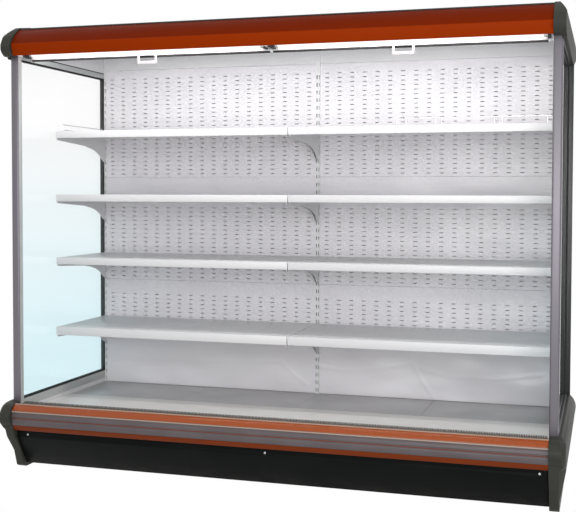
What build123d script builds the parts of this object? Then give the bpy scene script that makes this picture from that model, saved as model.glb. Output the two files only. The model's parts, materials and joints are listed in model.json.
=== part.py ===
from build123d import *
import math
import os

os.makedirs("parts", exist_ok=True)

# Open multideck display fridge: two bays of shelves between glazed ends, over a refrigerated base
# and under a lit canopy with roller night blinds. Sizes are in millimetres.
# x runs across, y to the rear and z up. The origin lies on the floor, under the middle of the outline.
# Depths named below are measured to the rear from the face of the end posts, heights from the floor.

# ---- Overall layout ----
bay_width = 1250.0  # clear width of each bay
end_wall = 40.0  # thickness of a glazed end
body_depth = 985.0  # post face to back
nose_reach = 95.0  # base nose in front of the posts
cap_bulge = 43.0  # end caps beyond the glazed ends
cap_overlap = 3.0  # strip of the end wall that the fascia and bumper cover
overall_height = 2180.0
seat_gap = 0.3  # clearance at a loose seat
shaft_gap = 0.08  # radial clearance of a turning pin

# ---- Feet and base frame ----
foot_height = 45.0
foot_pad_radius = 27.0
foot_pad_height = 10.0
foot_stem_radius = 6.0
foot_stem_entry = 16.0
foot_nut_radius = 11.0
foot_nut_height = 8.0
foot_inset = 70.0
foot_columns = 4
frame_height = 40.0
frame_bar = 40.0
frame_steel = 3.0
frame_setback = 150.0

# ---- Insulated base tub ----
tub_floor = 40.0
tub_wall = 40.0
rim_height = 323.0
end_sill = 303.0  # top of the tub's end walls, where the glazed ends stand
back_thickness = 45.0
duct_depth = 28.0

# ---- Kick plate ----
kick_steel = 1.5
kick_face = -24.0
kick_top = 205.0
kick_bend = 168.0
kick_toe_depth = 62.0
kick_toe_height = 22.0
kick_return = 16.0
kick_standoff = 14.0  # air between the plate's slope and the tub
kick_bracket_width = 30.0
screw_pitch = 1205.0
screw_shift = 11.0
screw_height = 182.0
screw_radius = 2.5
screw_head_radius = 5.0
screw_head_height = 2.5
screw_length = 18.0

# ---- Bumper rail ----
bumper_steel = 3.0
bumper_strip = 2.5
pinstripe_height = 3.0
pinstripe_depth = 1.2

# ---- Deck, return grille and what they rest on ----
deck_height = 282.0
deck_front = 484.0
deck_rear = 905.0
deck_steel = 1.5
deck_flange = 20.0
deck_joint = 1.0
deck_trays = 4
grille_front = 42.0
grille_rise = 4.0
grille_flange = 15.0
grille_slot_front = 92.0
grille_slot_length = 133.0
grille_slot_width = 4.5
grille_slot_pitch = 10.0
grille_end_margin = 14.0
rail_depth = 20.0
rail_height = 12.0
rail_leg = 12.0
ledge_depth = 18.0

# ---- Fans ----
fan_steel = 1.5
fan_foot = 320.0
fan_foot_flange = 22.0
fan_top_flange = 16.0
fan_pitch = 780.0
fan_hole_radius = 80.0
fan_tip_gap = 5.0
fan_blades = 5
fan_blade_thickness = 2.0
fan_blade_cover = 0.85  # share of the rotor depth that a blade takes up
fan_hub_radius = 22.0
fan_rotor_depth = 24.0
fan_shaft_radius = 4.0
fan_motor_radius = 28.0
fan_motor_length = 38.0
fan_motor_gap = 5.0
fan_arm_width = 8.0
fan_arm_thickness = 3.0
fan_arm_overlap = 9.0

# ---- Evaporator, pipes and drain ----
coil_front = 560.0
coil_rear = 850.0
coil_half_width = 1150.0
coil_lift = 7.0
coil_top = 250.0
coil_fin_pitch = 46.0
coil_fin_thickness = 2.0
coil_plate = 3.0
coil_tube_radius = 8.0
coil_tube_columns = 4
coil_tube_rows = 2
pipe_drop_inset = 28.0
liquid_depth = 620.0
liquid_height = 205.0
liquid_radius = 5.0
valve_radius = 12.0
valve_length = 26.0
suction_depth = 760.0
suction_height = 165.0
suction_radius = 9.0
pipe_tail = 55.0
pipe_bend = 22.0
drain_x = 500.0
drain_depth = 700.0
drain_radius = 20.0
drain_wall = 2.5
drain_tail = 30.0
drain_flange = 12.0

# ---- Rear wall ----
rear_steel = 1.2
rear_fold = 12.0
upright_width = 24.0
end_upright_width = 14.0
upright_wall = 2.0
upright_proud = 1.0
upright_slot_offset = 6.0
upright_slot_width = 4.0
upright_slot_height = 20.0
upright_slot_lead = 8.8  # middle of a slot above the level that it sets
slot_base = 292.2
slot_pitch = 40.6
slot_count = 42
column_pitch = 67.6
column_count = 18
row_pitch = 24.0
air_slot_width = 20.0
air_slot_height = 4.0
sheet_joint = 1.0
seam_low = 625.0
seam_middle = 866.0
seam_high = 1438.0
seam_head = 2035.0
lower_rows = 7
lower_row_start = 641.0
middle_rows = 17
middle_row_start = 886.0
upper_rows = 23
upper_row_start = 1457.0

# ---- Glazed ends ----
post_depth = 35.0
post_round = 9.0
end_rail_height = 40.0
top_rail_height = 25.0
head_seal = 5.0
glass_thickness = 20.0
glass_inset = 10.0
glass_entry = 6.0
groove_depth = 8.0
bead_width = 4.0
bead_height = 5.0
corner_face = 25.0
corner_wing = 15.0

# ---- Canopy ----
canopy_base = 2003.0
post_cover = 20.0
head_board = 25.0
roof_thickness = 40.0
roof_slope_end = 240.0
roof_nose = 156.0
roof_nose_drop = 12.0
fascia_steel = 2.0
cover_steel = 2.0
cover_rebate = 1.0
cover_front = 30.0
cover_rise = 140.0
bracket_steel = 8.0
bracket_rear = 230.0
duct_steel = 1.5
duct_front = 228.0
duct_lip = 25.0
duct_rise = 9.0
duct_rear = 109.0
comb_front = 160.0
comb_low = 7.0
comb_high = 32.0
comb_radius = 12.0
comb_wall = 2.0
comb_rows = 2
lamp_depth = 68.0
lamp_rise = 18.0
lamp_radius = 13.0
lamp_length = 1200.0
lamp_start = 25.0
lamp_pin_radius = 1.2
lamp_pin_length = 6.0
lamp_pin_spread = 6.0
holder_thickness = 12.0
holder_width = 32.0
holder_drop = 18.0
batten_front = 45.0
batten_rear = 88.0
batten_low = 33.0
batten_high = 57.0

# ---- Night blinds ----
roller_depth = 122.0
roller_rise = 53.0
roller_radius = 24.0
roller_inset = 10.0
roller_pin_radius = 5.0
cassette_half = 30.0
cassette_steel = 1.5
cloth_thickness = 0.5
cloth_inset = 16.0
bar_inner = 8.0
bar_outer = 1226.0
bar_front = 88.0
bar_rear = 108.0
bar_top = 9.0
bar_height = 14.0
bar_edge = 3.0
seal_height = 8.0
seal_depth = 14.0
handle_centre = 610.0
handle_width = 98.0
handle_height = 48.0
handle_depth = 8.0
handle_arm = 10.0
handle_grip = 14.0
handle_pad = 8.0

# ---- Shelves ----
shelf_slots = (33, 25, 17, 8)  # bracket slot of each shelf, from the top one down
shelf_front = 356.0
low_shelf_reach = 6.0  # the lowest shelf stands this much further forward
shelf_lip = 35.0
low_shelf_lip = 42.0
shelf_rear = 900.0
shelf_steel = 1.2
shelf_flange = 28.0
shelf_rear_flange = 10.0
shelf_gap = 2.0
shelf_outer_gap = 3.5
rail_steel = 1.2
price_rail_depth = 4.0
shelf_bracket_steel = 3.0
bracket_back = 905.0
hook_height = 12.0
hook_drop = 10.0
hook_thickness = 3.2
wire_radius = 2.0
wire_overrun = 1.0
guard_post_radius = 1.7
side_guard_front = 430.0
side_guard_rear = 868.0
guard_low = 12.0
guard_high = 39.0
fence_wire = 35.0
fence_setback = 8.0
fence_start = 528.0
fence_end = 1239.0
fence_pairs = ((528.0, 574.0), (709.0, 737.0), (977.0, 1013.0), (1211.0, 1239.0))

# ---- Places worked out from the sizes above ----
post_face = (nose_reach - body_depth) / 2
outer = bay_width + end_wall
trim_end = bay_width + cap_overlap
tub_bottom = foot_height + frame_height
tub_inside = tub_bottom + tub_floor
back_face = body_depth - back_thickness
wall_face = back_face - duct_depth
upright_face = wall_face - upright_proud
kick_lean = (kick_toe_depth - kick_face) / (kick_bend - kick_toe_height)
tub_break = kick_bend + (kick_face + kick_standoff) / kick_lean
tub_toe = kick_face + kick_standoff + (kick_bend - tub_bottom) * kick_lean
grille_top = deck_height + grille_rise
grille_rear = deck_front - 2 * deck_joint
grille_bottom = grille_top - grille_flange
deck_bottom = deck_height - deck_flange
head_base = canopy_base + post_cover
roof_bottom = overall_height - roof_thickness
corner_front = body_depth - corner_face
cover_slope = (overall_height - canopy_base - cover_rise) / (roof_slope_end - cover_front)
foot_span = 2 * (bay_width - foot_inset)
foot_xs = [foot_span * (i / (foot_columns - 1) - 0.5) for i in range(foot_columns)]
foot_ys = (frame_setback + frame_bar / 2, back_face - frame_bar / 2)
screw_xs = [screw_shift + i * screw_pitch for i in (-1, 0, 1)]
sides = {"left": -1, "right": 1}


# ---- Planes and plain shapes ----
def across(x):
    """Upright plane at x: its first axis is depth behind the posts, its second is height."""
    return Plane(origin=(x, post_face, 0), x_dir=(0, 1, 0), z_dir=(1, 0, 0))


def level(z):
    """Flat plane at height z: its axes are width and depth behind the posts."""
    return Plane(origin=(0, post_face, z), x_dir=(1, 0, 0), z_dir=(0, 0, 1))


def facing(y):
    """Upright plane at depth y, seen from the front: its axes are width and height."""
    return Plane(origin=(0, post_face + y, 0), x_dir=(1, 0, 0), z_dir=(0, -1, 0))


def block(x_span, y_span, z_span, mode=Mode.ADD):
    """Box between pairs of widths, depths and heights."""
    spans = (x_span, y_span, z_span)
    size = [abs(span[1] - span[0]) for span in spans]
    middle = [(span[0] + span[1]) / 2 for span in spans]
    with Locations((middle[0], post_face + middle[1], middle[2])):
        Box(*size, mode=mode)


def bar(points, x_from, x_to, mode=Mode.ADD):
    """Straight bar with the outline points (depth, height) between two widths."""
    with BuildSketch(across(min(x_from, x_to))) as outline:
        with BuildLine():
            Polyline(*points, close=True)
        make_face()
    extrude(outline.sketch, amount=abs(x_to - x_from), dir=(1, 0, 0), mode=mode)


def beside(points, distance):
    """The open outline drawn again at a distance to the left of its run, with mitred corners."""
    runs = [(Vector(*b) - Vector(*a)).normalized() for a, b in zip(points, points[1:])]
    normals = [Vector(-run.Y, run.X) for run in runs]
    moved = []
    for point, before, after in zip(points, normals[:1] + normals, normals + normals[-1:]):
        mitre = (before + after) * (distance / (1 + before.dot(after)))
        moved.append((point[0] + mitre.X, point[1] + mitre.Y))
    return moved


def sheet(points, thickness, x_from, x_to):
    """Bent sheet whose shown side follows the points, thickened to the left of their run."""
    bar(points + beside(points, thickness)[::-1], x_from, x_to)


def raised(points, height):
    """Outline points (depth, height) lifted by a height."""
    return [(depth, rise + height) for depth, rise in points]


def upright_rods(places, radius, z_from, z_to, mode=Mode.ADD):
    """Round rods between two heights at the places (width, depth)."""
    with BuildSketch(level(z_from)) as outline:
        with Locations(*places):
            Circle(radius)
    extrude(outline.sketch, amount=z_to - z_from, dir=(0, 0, 1), mode=mode)


def cross_rods(places, radius, x_from, x_to, mode=Mode.ADD):
    """Round rods across the fridge at the places (depth, height)."""
    with BuildSketch(across(min(x_from, x_to))) as outline:
        with Locations(*places):
            Circle(radius)
    extrude(outline.sketch, amount=abs(x_to - x_from), dir=(1, 0, 0), mode=mode)


def depth_rods(places, radius, y_from, y_to, mode=Mode.ADD):
    """Round rods from front to rear at the places (width, height)."""
    with BuildSketch(facing(y_to)) as outline:
        with Locations(*places):
            Circle(radius)
    extrude(outline.sketch, amount=y_to - y_from, dir=(0, -1, 0), mode=mode)


def pierced(outline, holes):
    """The outline's face with the shapes of all the holes left out of it."""
    return Face(outline.face().outer_wire(), [hole.outer_wire() for hole in holes.faces()])


# ---- Base frame: channel bars on levelling feet ----
def frame_plan(inset):
    """Plan of the frame's bars, each drawn in by the inset, as one face."""
    with BuildSketch(level(foot_height)) as plan:
        with Locations(*[(0, y) for y in foot_ys]):
            Rectangle(foot_span + frame_bar - 2 * inset, frame_bar - 2 * inset)
        with Locations(*[(x, sum(foot_ys) / 2) for x in foot_xs]):
            Rectangle(frame_bar - 2 * inset, foot_ys[1] - foot_ys[0] + frame_bar - 2 * inset)
    return plan.sketch


foot_places = [(x, y) for x in foot_xs for y in foot_ys]

with BuildPart() as base_frame:
    extrude(frame_plan(0), amount=frame_height, dir=(0, 0, 1))
    extrude(frame_plan(frame_steel), amount=frame_height - frame_steel, dir=(0, 0, 1), mode=Mode.SUBTRACT)
    for foot_x, foot_y in foot_places:
        half = frame_bar / 2
        plate_z = (foot_height, foot_height + frame_steel)
        block((foot_x - half, foot_x + half), (foot_y - half, foot_y + half), plate_z)
    stem_hole = foot_stem_radius + seat_gap
    upright_rods(foot_places, stem_hole, foot_height, foot_height + frame_steel, mode=Mode.SUBTRACT)
base_frame.part.label = "base_frame"
export_step(base_frame.part, "parts/base_frame.step")

with BuildPart() as levelling_feet:
    upright_rods(foot_places, foot_pad_radius, 0, foot_pad_height)
    chamfer(levelling_feet.faces().group_by(Axis.Z)[-1].edges(), foot_pad_height / 3)
    upright_rods(foot_places, foot_stem_radius, foot_pad_height, foot_height + foot_stem_entry)
    with BuildSketch(level(foot_height - foot_nut_height)) as nuts:
        with Locations(*foot_places):
            RegularPolygon(foot_nut_radius, 6)
    extrude(nuts.sketch, amount=foot_nut_height, dir=(0, 0, 1))
levelling_feet.part.label = "levelling_feet"
export_step(levelling_feet.part, "parts/levelling_feet.step")

# ---- Kick plate and its screws ----
kick_line = [
    (kick_face, kick_top),
    (kick_face, kick_bend),
    (kick_toe_depth, kick_toe_height),
    (kick_toe_depth + kick_return, kick_toe_height),
]
screw_places = [(x, screw_height) for x in screw_xs]

with BuildPart() as kick_plate:
    sheet(kick_line, kick_steel, -trim_end, trim_end)
    screw_hole = screw_radius + seat_gap
    depth_rods(screw_places, screw_hole, kick_face, kick_face + kick_steel, mode=Mode.SUBTRACT)
kick_plate.part.label = "kick_plate"
export_step(kick_plate.part, "parts/kick_plate.step")

with BuildPart() as kick_screws:
    depth_rods(screw_places, screw_head_radius, kick_face - screw_head_height, kick_face)
    fillet(kick_screws.faces().group_by(Axis.Y)[0].edges(), screw_head_height * 0.6)
    depth_rods(screw_places, screw_radius, kick_face, kick_face + screw_length)
kick_screws.part.label = "kick_screws"
export_step(kick_screws.part, "parts/kick_screws.step")

# ---- Insulated tub: floor, front wall and end walls, with the brackets that hold the kick plate ----
tub_outline = [
    (0, rim_height),
    (0, tub_break),
    (tub_toe, tub_bottom),
    (back_face, tub_bottom),
    (back_face, tub_inside),
    (tub_wall, tub_inside),
    (tub_wall, rim_height),
]
end_outline = [
    (0, end_sill),
    (0, tub_break),
    (tub_toe, tub_bottom),
    (body_depth, tub_bottom),
    (body_depth, end_sill),
]
pipe_x = bay_width - pipe_drop_inset
pipe_runs = (
    (liquid_depth, liquid_height, liquid_radius),
    (suction_depth, suction_height, suction_radius),
)

with BuildPart() as base_tub:
    bar(tub_outline, -bay_width, bay_width)
    for side in sides.values():
        bar(end_outline, side * bay_width, side * outer)
    for screw_x in screw_xs:
        bracket_span = (screw_x - kick_bracket_width / 2, screw_x + kick_bracket_width / 2)
        block(bracket_span, (kick_face + kick_steel, 0), (kick_bend + 2 * kick_steel, kick_top - seat_gap))
    depth_rods(screw_places, screw_hole, kick_face + kick_steel, 0, mode=Mode.SUBTRACT)
    for depth, height, radius in pipe_runs:
        upright_rods([(pipe_x, depth)], radius + seat_gap, tub_bottom, tub_inside, mode=Mode.SUBTRACT)
    drain_hole = drain_radius + seat_gap
    upright_rods([(drain_x, drain_depth)], drain_hole, tub_bottom, tub_inside, mode=Mode.SUBTRACT)
base_tub.part.label = "base_tub"
export_step(base_tub.part, "parts/base_tub.step")

# ---- Bumper rail clipped round the tub's rim, with its painted trims ----
# Outline points are (depth, height above the rim), from the rim's top forward and round to below.
bumper_line = raised(
    [
        (0, 0),
        (-30, 0),
        (-54, -12),
        (-70.5, -21),
        (-72, -49),
        (-70, -51),
        (-70, -61),
        (-71.5, -63),
        (-68, -88),
        (-62, -92),
        (-50, -116),
        (0, -116),
    ],
    rim_height,
)
trim_back, trim_shoulder, trim_edge = bumper_line[1:4]
groove_top, groove_bottom = bumper_line[5:7]
strip_top, strip_bottom = bumper_line[9:11]
trim_lip = (trim_back[0] - 4, rim_height + 8)
trim_crown = (trim_edge[0] + 14, rim_height - 2)

with BuildPart() as bumper_rail:
    sheet(bumper_line, bumper_steel, -trim_end, trim_end)
bumper_rail.part.label = "bumper_rail"
export_step(bumper_rail.part, "parts/bumper_rail.step")

with BuildPart() as bumper_top_trim:
    with BuildSketch(across(-trim_end)) as trim_outline:
        with BuildLine():
            ThreePointArc(trim_edge, trim_crown, trim_lip)
            Polyline(trim_lip, (trim_back[0], trim_lip[1]), trim_back, trim_shoulder, trim_edge)
        make_face()
    extrude(trim_outline.sketch, amount=2 * trim_end, dir=(1, 0, 0))
bumper_top_trim.part.label = "bumper_top_trim"
export_step(bumper_top_trim.part, "parts/bumper_top_trim.step")

with BuildPart() as bumper_lower_trim:
    sheet([strip_bottom, strip_top], bumper_strip, -trim_end, trim_end)
    stripe_middle = (groove_top[1] + groove_bottom[1]) / 2
    stripe_z = (stripe_middle - pinstripe_height / 2, stripe_middle + pinstripe_height / 2)
    block((-trim_end, trim_end), (groove_top[0] - pinstripe_depth, groove_top[0]), stripe_z)
bumper_lower_trim.part.label = "bumper_lower_trim"
export_step(bumper_lower_trim.part, "parts/bumper_lower_trim.step")

# ---- Moulded end caps: hollow shells rounded in all three views ----
cap_wall = 3.0
cap_foot = 4.0
base_cap_top = rim_height + 16
canopy_cap_low = canopy_base - 10
corner_turn = math.radians(32)  # turn of the view past a base cap's front corner


def base_cap_front():
    """The base cap seen from its side, as (depth, height)."""
    lip = (-34, rim_height + 8)
    nose = (-nose_reach, rim_height - 41)
    waist = (-66, rim_height - 93)
    ThreePointArc(lip, (-nose_reach + 15, rim_height - 10), nose)
    ThreePointArc(nose, (-nose_reach + 7, rim_height - 73), waist)
    Polyline(
        waist,
        (-52, 179),
        (-2, 112),
        (38, 14),
        (60, cap_foot),
        (body_depth, cap_foot),
        (body_depth, base_cap_top),
        (0, base_cap_top),
        lip,
    )


def base_cap_side():
    """The base cap seen from the front, as (width, height)."""
    shoulder = (outer + 12, base_cap_top)
    widest = (outer + cap_bulge, rim_height - 48)
    ankle = (outer + 5, 60)
    ThreePointArc(shoulder, (outer + cap_bulge - 8, rim_height - 12), widest)
    ThreePointArc(widest, (outer + cap_bulge - 12, 190), ankle)
    Polyline(
        ankle,
        (ankle[0], cap_foot),
        (trim_end, cap_foot),
        (trim_end, base_cap_top),
        shoulder,
    )


def base_cap_plan():
    """The base cap seen from above, as (width, depth)."""
    front = (outer + 14, -nose_reach)
    flank = (outer + 32, -nose_reach + 30)
    ThreePointArc(front, (outer + 27, -nose_reach + 9), flank)
    Polyline(
        flank,
        (outer + cap_bulge, body_depth),
        (trim_end, body_depth),
        (trim_end, -nose_reach),
        front,
    )


def base_cap_corner():
    """The base cap seen past its front corner, as (distance out from the post, height)."""
    shoulder = (22, base_cap_top)
    neck = (37, rim_height - 115)
    ThreePointArc(shoulder, (65, rim_height - 62), neck)
    Polyline(
        neck,
        (29, 169),
        (-4, 93),
        (-20, 0),
        (-body_depth, 0),
        (-body_depth, shoulder[1] + 15),
        (shoulder[0] - 40, shoulder[1] + 15),
        shoulder,
    )


def canopy_cap_front():
    """The canopy cap seen from its side, as (depth, height)."""
    chin = (-30, canopy_base - 1)
    nose = (-75, canopy_base + 45)
    brow = (-47, canopy_base + 86)
    crown = (cover_front, canopy_base + cover_rise + 3)
    ThreePointArc(chin, (-57, canopy_base + 17), nose)
    Polyline(nose, (-64, canopy_base + 56), brow)
    ThreePointArc(brow, (-13, canopy_base + 115), crown)
    Polyline(
        crown,
        (roof_slope_end, overall_height),
        (body_depth, overall_height),
        (body_depth, canopy_cap_low),
        (0, canopy_cap_low),
        (0, canopy_base - 1),
        chin,
    )


def canopy_cap_side():
    """The canopy cap seen from the front, as (width, height)."""
    skirt = (outer + 14, canopy_cap_low)
    widest = (outer + 29, canopy_base + 45)
    shoulder = (outer - 15, canopy_base + 143)
    ThreePointArc(skirt, (outer + 25, canopy_base + 16), widest)
    ThreePointArc(widest, (outer + 16, canopy_base + 93), shoulder)
    Polyline(shoulder, (trim_end, canopy_base + 158), (trim_end, canopy_cap_low), skirt)


def canopy_cap_plan():
    """The canopy cap seen from above, as (width, depth)."""
    front = (outer + 6, -75)
    flank = (outer + 14, -60)
    ThreePointArc(front, (outer + 11.5, -70), flank)
    Polyline(
        flank,
        (outer + 29, body_depth),
        (trim_end, body_depth),
        (trim_end, -75),
        front,
    )


def outline_face(plane, draw, inset):
    """Face of one of the cap outlines, drawn in by the inset."""
    with BuildSketch(plane) as outline:
        with BuildLine():
            draw()
        make_face()
        if inset:
            offset(amount=-inset, kind=Kind.INTERSECTION)
    return outline.sketch


def cap_bulk(views, inset):
    """Right-hand solid held by a cap's outlines, each drawn in by the inset."""
    with BuildPart() as bulk:
        for i, (plane, draw) in enumerate(views):
            mode = Mode.INTERSECT if i else Mode.ADD
            extrude(outline_face(plane, draw, inset), amount=2 * overall_height, both=True, mode=mode)
    return bulk.part


past_corner = Plane(
    origin=(outer, post_face, 0),
    x_dir=(math.cos(corner_turn), -math.sin(corner_turn), 0),
    z_dir=(-math.sin(corner_turn), -math.cos(corner_turn), 0),
)
base_cap_views = [
    (across(0), base_cap_front),
    (facing(0), base_cap_side),
    (level(0), base_cap_plan),
    (past_corner, base_cap_corner),
]
canopy_cap_views = [
    (across(0), canopy_cap_front),
    (facing(0), canopy_cap_side),
    (level(0), canopy_cap_plan),
]
cap_rear = body_depth + cap_wall
tub_end_zone = [
    (0, canopy_base),
    (0, tub_break),
    (tub_toe, tub_bottom),
    (cap_rear, tub_bottom),
    (cap_rear, canopy_base),
]

with BuildPart() as base_cap_right:
    add(cap_bulk(base_cap_views, 0))
    add(cap_bulk(base_cap_views, cap_wall), mode=Mode.SUBTRACT)
    bar(tub_end_zone, 0, outer, mode=Mode.SUBTRACT)
base_cap_right.part.label = "base_cap_right"
export_step(base_cap_right.part, "parts/base_cap_right.step")

with BuildPart() as base_cap_left:
    mirror(base_cap_right.part, about=Plane.YZ)
base_cap_left.part.label = "base_cap_left"
export_step(base_cap_left.part, "parts/base_cap_left.step")

# ---- Deck supports: two long rails on legs and a ledge on the front wall ----
leg_xs = [-bay_width + rail_leg, -bay_width / 2, 0, bay_width / 2, bay_width - rail_leg]
tray_rest = deck_bottom - seat_gap
grille_rest = grille_bottom - seat_gap

with BuildPart() as deck_supports:
    for rail_y in (deck_front + 3, deck_rear - rail_depth - 3):
        rail_y_span = (rail_y, rail_y + rail_depth)
        rail_x = bay_width - rail_leg / 2
        block((-rail_x, rail_x), rail_y_span, (tray_rest - rail_height, tray_rest))
        for leg_x in leg_xs:
            leg_span = (leg_x - rail_leg / 2, leg_x + rail_leg / 2)
            block(leg_span, rail_y_span, (tub_inside, tray_rest - rail_height))
    ledge_y = (tub_wall, tub_wall + ledge_depth)
    block((-bay_width, bay_width), ledge_y, (grille_rest - rail_height, grille_rest))
deck_supports.part.label = "deck_supports"
export_step(deck_supports.part, "parts/deck_supports.step")

# ---- Lift-out deck trays ----
tray_pitch = 2 * bay_width / deck_trays


def folded_pan(x_span, y_span, top, flange, steel):
    """Flat pan with its four edges folded down."""
    block(x_span, y_span, (top - flange, top))
    inner_x = (x_span[0] + steel, x_span[1] - steel)
    inner_y = (y_span[0] + steel, y_span[1] - steel)
    block(inner_x, inner_y, (top - flange, top - steel), mode=Mode.SUBTRACT)


for i in range(deck_trays):
    tray_left = -bay_width + i * tray_pitch
    with BuildPart() as deck_tray:
        tray_x = (tray_left + deck_joint, tray_left + tray_pitch - deck_joint)
        folded_pan(tray_x, (deck_front, deck_rear), deck_height, deck_flange, deck_steel)
    deck_tray.part.label = f"deck_tray_{i + 1}"
    export_step(deck_tray.part, f"parts/deck_tray_{i + 1}.step")

# ---- Return air grille ----
grille_half = bay_width - 2 * deck_joint
grille_slots = int(2 * (grille_half - grille_end_margin) / grille_slot_pitch)

with BuildPart() as grille_folds:
    outer_y = (grille_front, grille_rear)
    fold_z = (grille_top - grille_flange, grille_top - deck_steel)
    block((-grille_half, grille_half), outer_y, fold_z)
    inner_half = grille_half - deck_steel
    inner_y = (grille_front + deck_steel, grille_rear - deck_steel)
    block((-inner_half, inner_half), inner_y, fold_z, mode=Mode.SUBTRACT)

with BuildPart() as return_grille:
    with BuildSketch(level(grille_top - deck_steel)) as face:
        with Locations((0, (grille_front + grille_rear) / 2)):
            plain = Rectangle(2 * grille_half, grille_rear - grille_front, mode=Mode.PRIVATE)
        with Locations((0, grille_slot_front + grille_slot_length / 2)):
            with GridLocations(grille_slot_pitch, grille_slot_length, grille_slots, 1):
                slots = Rectangle(grille_slot_width, grille_slot_length, mode=Mode.PRIVATE)
        add(pierced(plain, slots))
    extrude(face.sketch, amount=deck_steel, dir=(0, 0, 1))
    add(grille_folds.part)
return_grille.part.label = "return_grille"
export_step(return_grille.part, "parts/return_grille.step")

# ---- Fan plate: a sheet sloped from the tub floor up to the grille's rear edge ----
fan_top_height = grille_rest
fan_rise = fan_top_height - tub_inside
fan_line = [
    (fan_foot - fan_foot_flange, tub_inside + fan_steel),
    (fan_foot, tub_inside + fan_steel),
    (fan_foot + fan_rise - fan_steel, fan_top_height),
    (fan_foot + fan_rise - fan_steel + fan_top_flange, fan_top_height),
]
fan_half = bay_width - 2 * rail_leg
fan_xs = {"1": -fan_pitch, "2": 0, "3": fan_pitch}
fan_middle_y = fan_foot + (fan_rise - fan_steel) / 2
fan_middle_z = tub_inside + fan_steel + (fan_rise - fan_steel) / 2
fan_axis = Vector(0, -1, 1).normalized()


def fan_plane(x, lift):
    """Plane of the sloped plate's upper side at a fan, lifted along the fan's axis."""
    middle = Vector(x, post_face + fan_middle_y, fan_middle_z) + fan_axis * lift
    return Plane(origin=middle, x_dir=(1, 0, 0), z_dir=fan_axis)


with BuildPart() as fan_plate:
    sheet(fan_line, -fan_steel, -fan_half, fan_half)
    for fan_x in fan_xs.values():
        with BuildSketch(fan_plane(fan_x, -2 * fan_steel)):
            Circle(fan_hole_radius)
        extrude(amount=4 * fan_steel, mode=Mode.SUBTRACT)
fan_plate.part.label = "fan_plate"
export_step(fan_plate.part, "parts/fan_plate.step")

# ---- Fan motors on four-armed mounts ----
rotor_top = fan_rotor_depth / 2
motor_low = rotor_top + fan_motor_gap
arm_reach = fan_hole_radius + fan_arm_overlap

with BuildPart() as fan_motors:
    for fan_x in fan_xs.values():
        with BuildSketch(fan_plane(fan_x, motor_low)):
            Circle(fan_motor_radius)
        extrude(amount=fan_motor_length)
        with BuildSketch(fan_plane(fan_x, motor_low)):
            Rectangle(2 * arm_reach, fan_arm_width)
            Rectangle(fan_arm_width, 2 * arm_reach)
        extrude(amount=fan_arm_thickness)
        with BuildSketch(fan_plane(fan_x, 0)):
            with PolarLocations(arm_reach - fan_arm_thickness / 2, 4):
                Rectangle(fan_arm_thickness, fan_arm_width)
        extrude(amount=motor_low)
        with BuildSketch(fan_plane(fan_x, -rotor_top / 2)):
            Circle(fan_shaft_radius)
        extrude(amount=motor_low + rotor_top / 2)
fan_motors.part.label = "fan_motors"
export_step(fan_motors.part, "parts/fan_motors.step")

# ---- Fan rotors ----
blade_length = fan_hole_radius - fan_tip_gap - fan_hub_radius
blade_pitch_angle = 35

for number, fan_x in fan_xs.items():
    with BuildPart() as fan_rotor:
        with BuildSketch(fan_plane(fan_x, -rotor_top)):
            Circle(fan_hub_radius)
            Circle(fan_shaft_radius + shaft_gap, mode=Mode.SUBTRACT)
        extrude(amount=fan_rotor_depth)
        blade_width = fan_rotor_depth / math.sin(math.radians(blade_pitch_angle)) * fan_blade_cover
        with Locations(fan_plane(fan_x, 0)):
            with PolarLocations(fan_hub_radius + blade_length / 2 - fan_blade_thickness, fan_blades):
                Box(
                    blade_length,
                    blade_width,
                    fan_blade_thickness,
                    rotation=(blade_pitch_angle, 0, 0),
                )
    fan_rotor.part.label = f"fan_rotor_{number}"
    export_step(fan_rotor.part, f"parts/fan_rotor_{number}.step")

# ---- Evaporator: end plates on the tub floor, fins and tubes between them ----
coil_low = tub_inside + coil_lift
fin_count = int(2 * (coil_half_width - coil_fin_pitch / 2) / coil_fin_pitch)
coil_middle_y = (coil_front + coil_rear) / 2
tube_pitch_y = (coil_rear - coil_front) / coil_tube_columns
tube_pitch_z = (coil_top - coil_low) / coil_tube_rows
tube_places = [
    (
        coil_front + tube_pitch_y * (column + 0.5),
        coil_low + tube_pitch_z * (row + 0.5),
    )
    for column in range(coil_tube_columns)
    for row in range(coil_tube_rows)
]

with BuildPart() as evaporator_coil:
    with BuildSketch(level(coil_low)) as fins:
        with Locations((0, coil_middle_y)):
            with GridLocations(coil_fin_pitch, coil_rear - coil_front, fin_count, 1):
                Rectangle(coil_fin_thickness, coil_rear - coil_front)
    extrude(fins.sketch, amount=coil_top - coil_low, dir=(0, 0, 1))
    for side in sides.values():
        plate_x = (side * coil_half_width, side * (coil_half_width - coil_plate))
        block(plate_x, (coil_front, coil_rear), (tub_inside, coil_top))
    cross_rods(tube_places, coil_tube_radius, -coil_half_width, coil_half_width)
evaporator_coil.part.label = "evaporator_coil"
export_step(evaporator_coil.part, "parts/evaporator_coil.step")

# ---- Refrigerant pipes: from the coil's right end down through the tub floor ----
with BuildPart() as refrigerant_pipes:
    for depth, height, radius in pipe_runs:
        start = (coil_half_width, post_face + depth, height)
        corner = (pipe_x, post_face + depth, height)
        tail = (pipe_x, post_face + depth, pipe_tail)
        with BuildLine() as route:
            FilletPolyline(start, corner, tail, radius=pipe_bend)
        with BuildSketch(Plane(origin=start, z_dir=(1, 0, 0))):
            Circle(radius)
        sweep(path=route.wire())
    valve_x = (coil_half_width + pipe_x - pipe_bend) / 2
    valve_ends = (valve_x - valve_length / 2, valve_x + valve_length / 2)
    cross_rods([(liquid_depth, liquid_height)], valve_radius, *valve_ends)
refrigerant_pipes.part.label = "refrigerant_pipes"
export_step(refrigerant_pipes.part, "parts/refrigerant_pipes.step")

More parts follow.
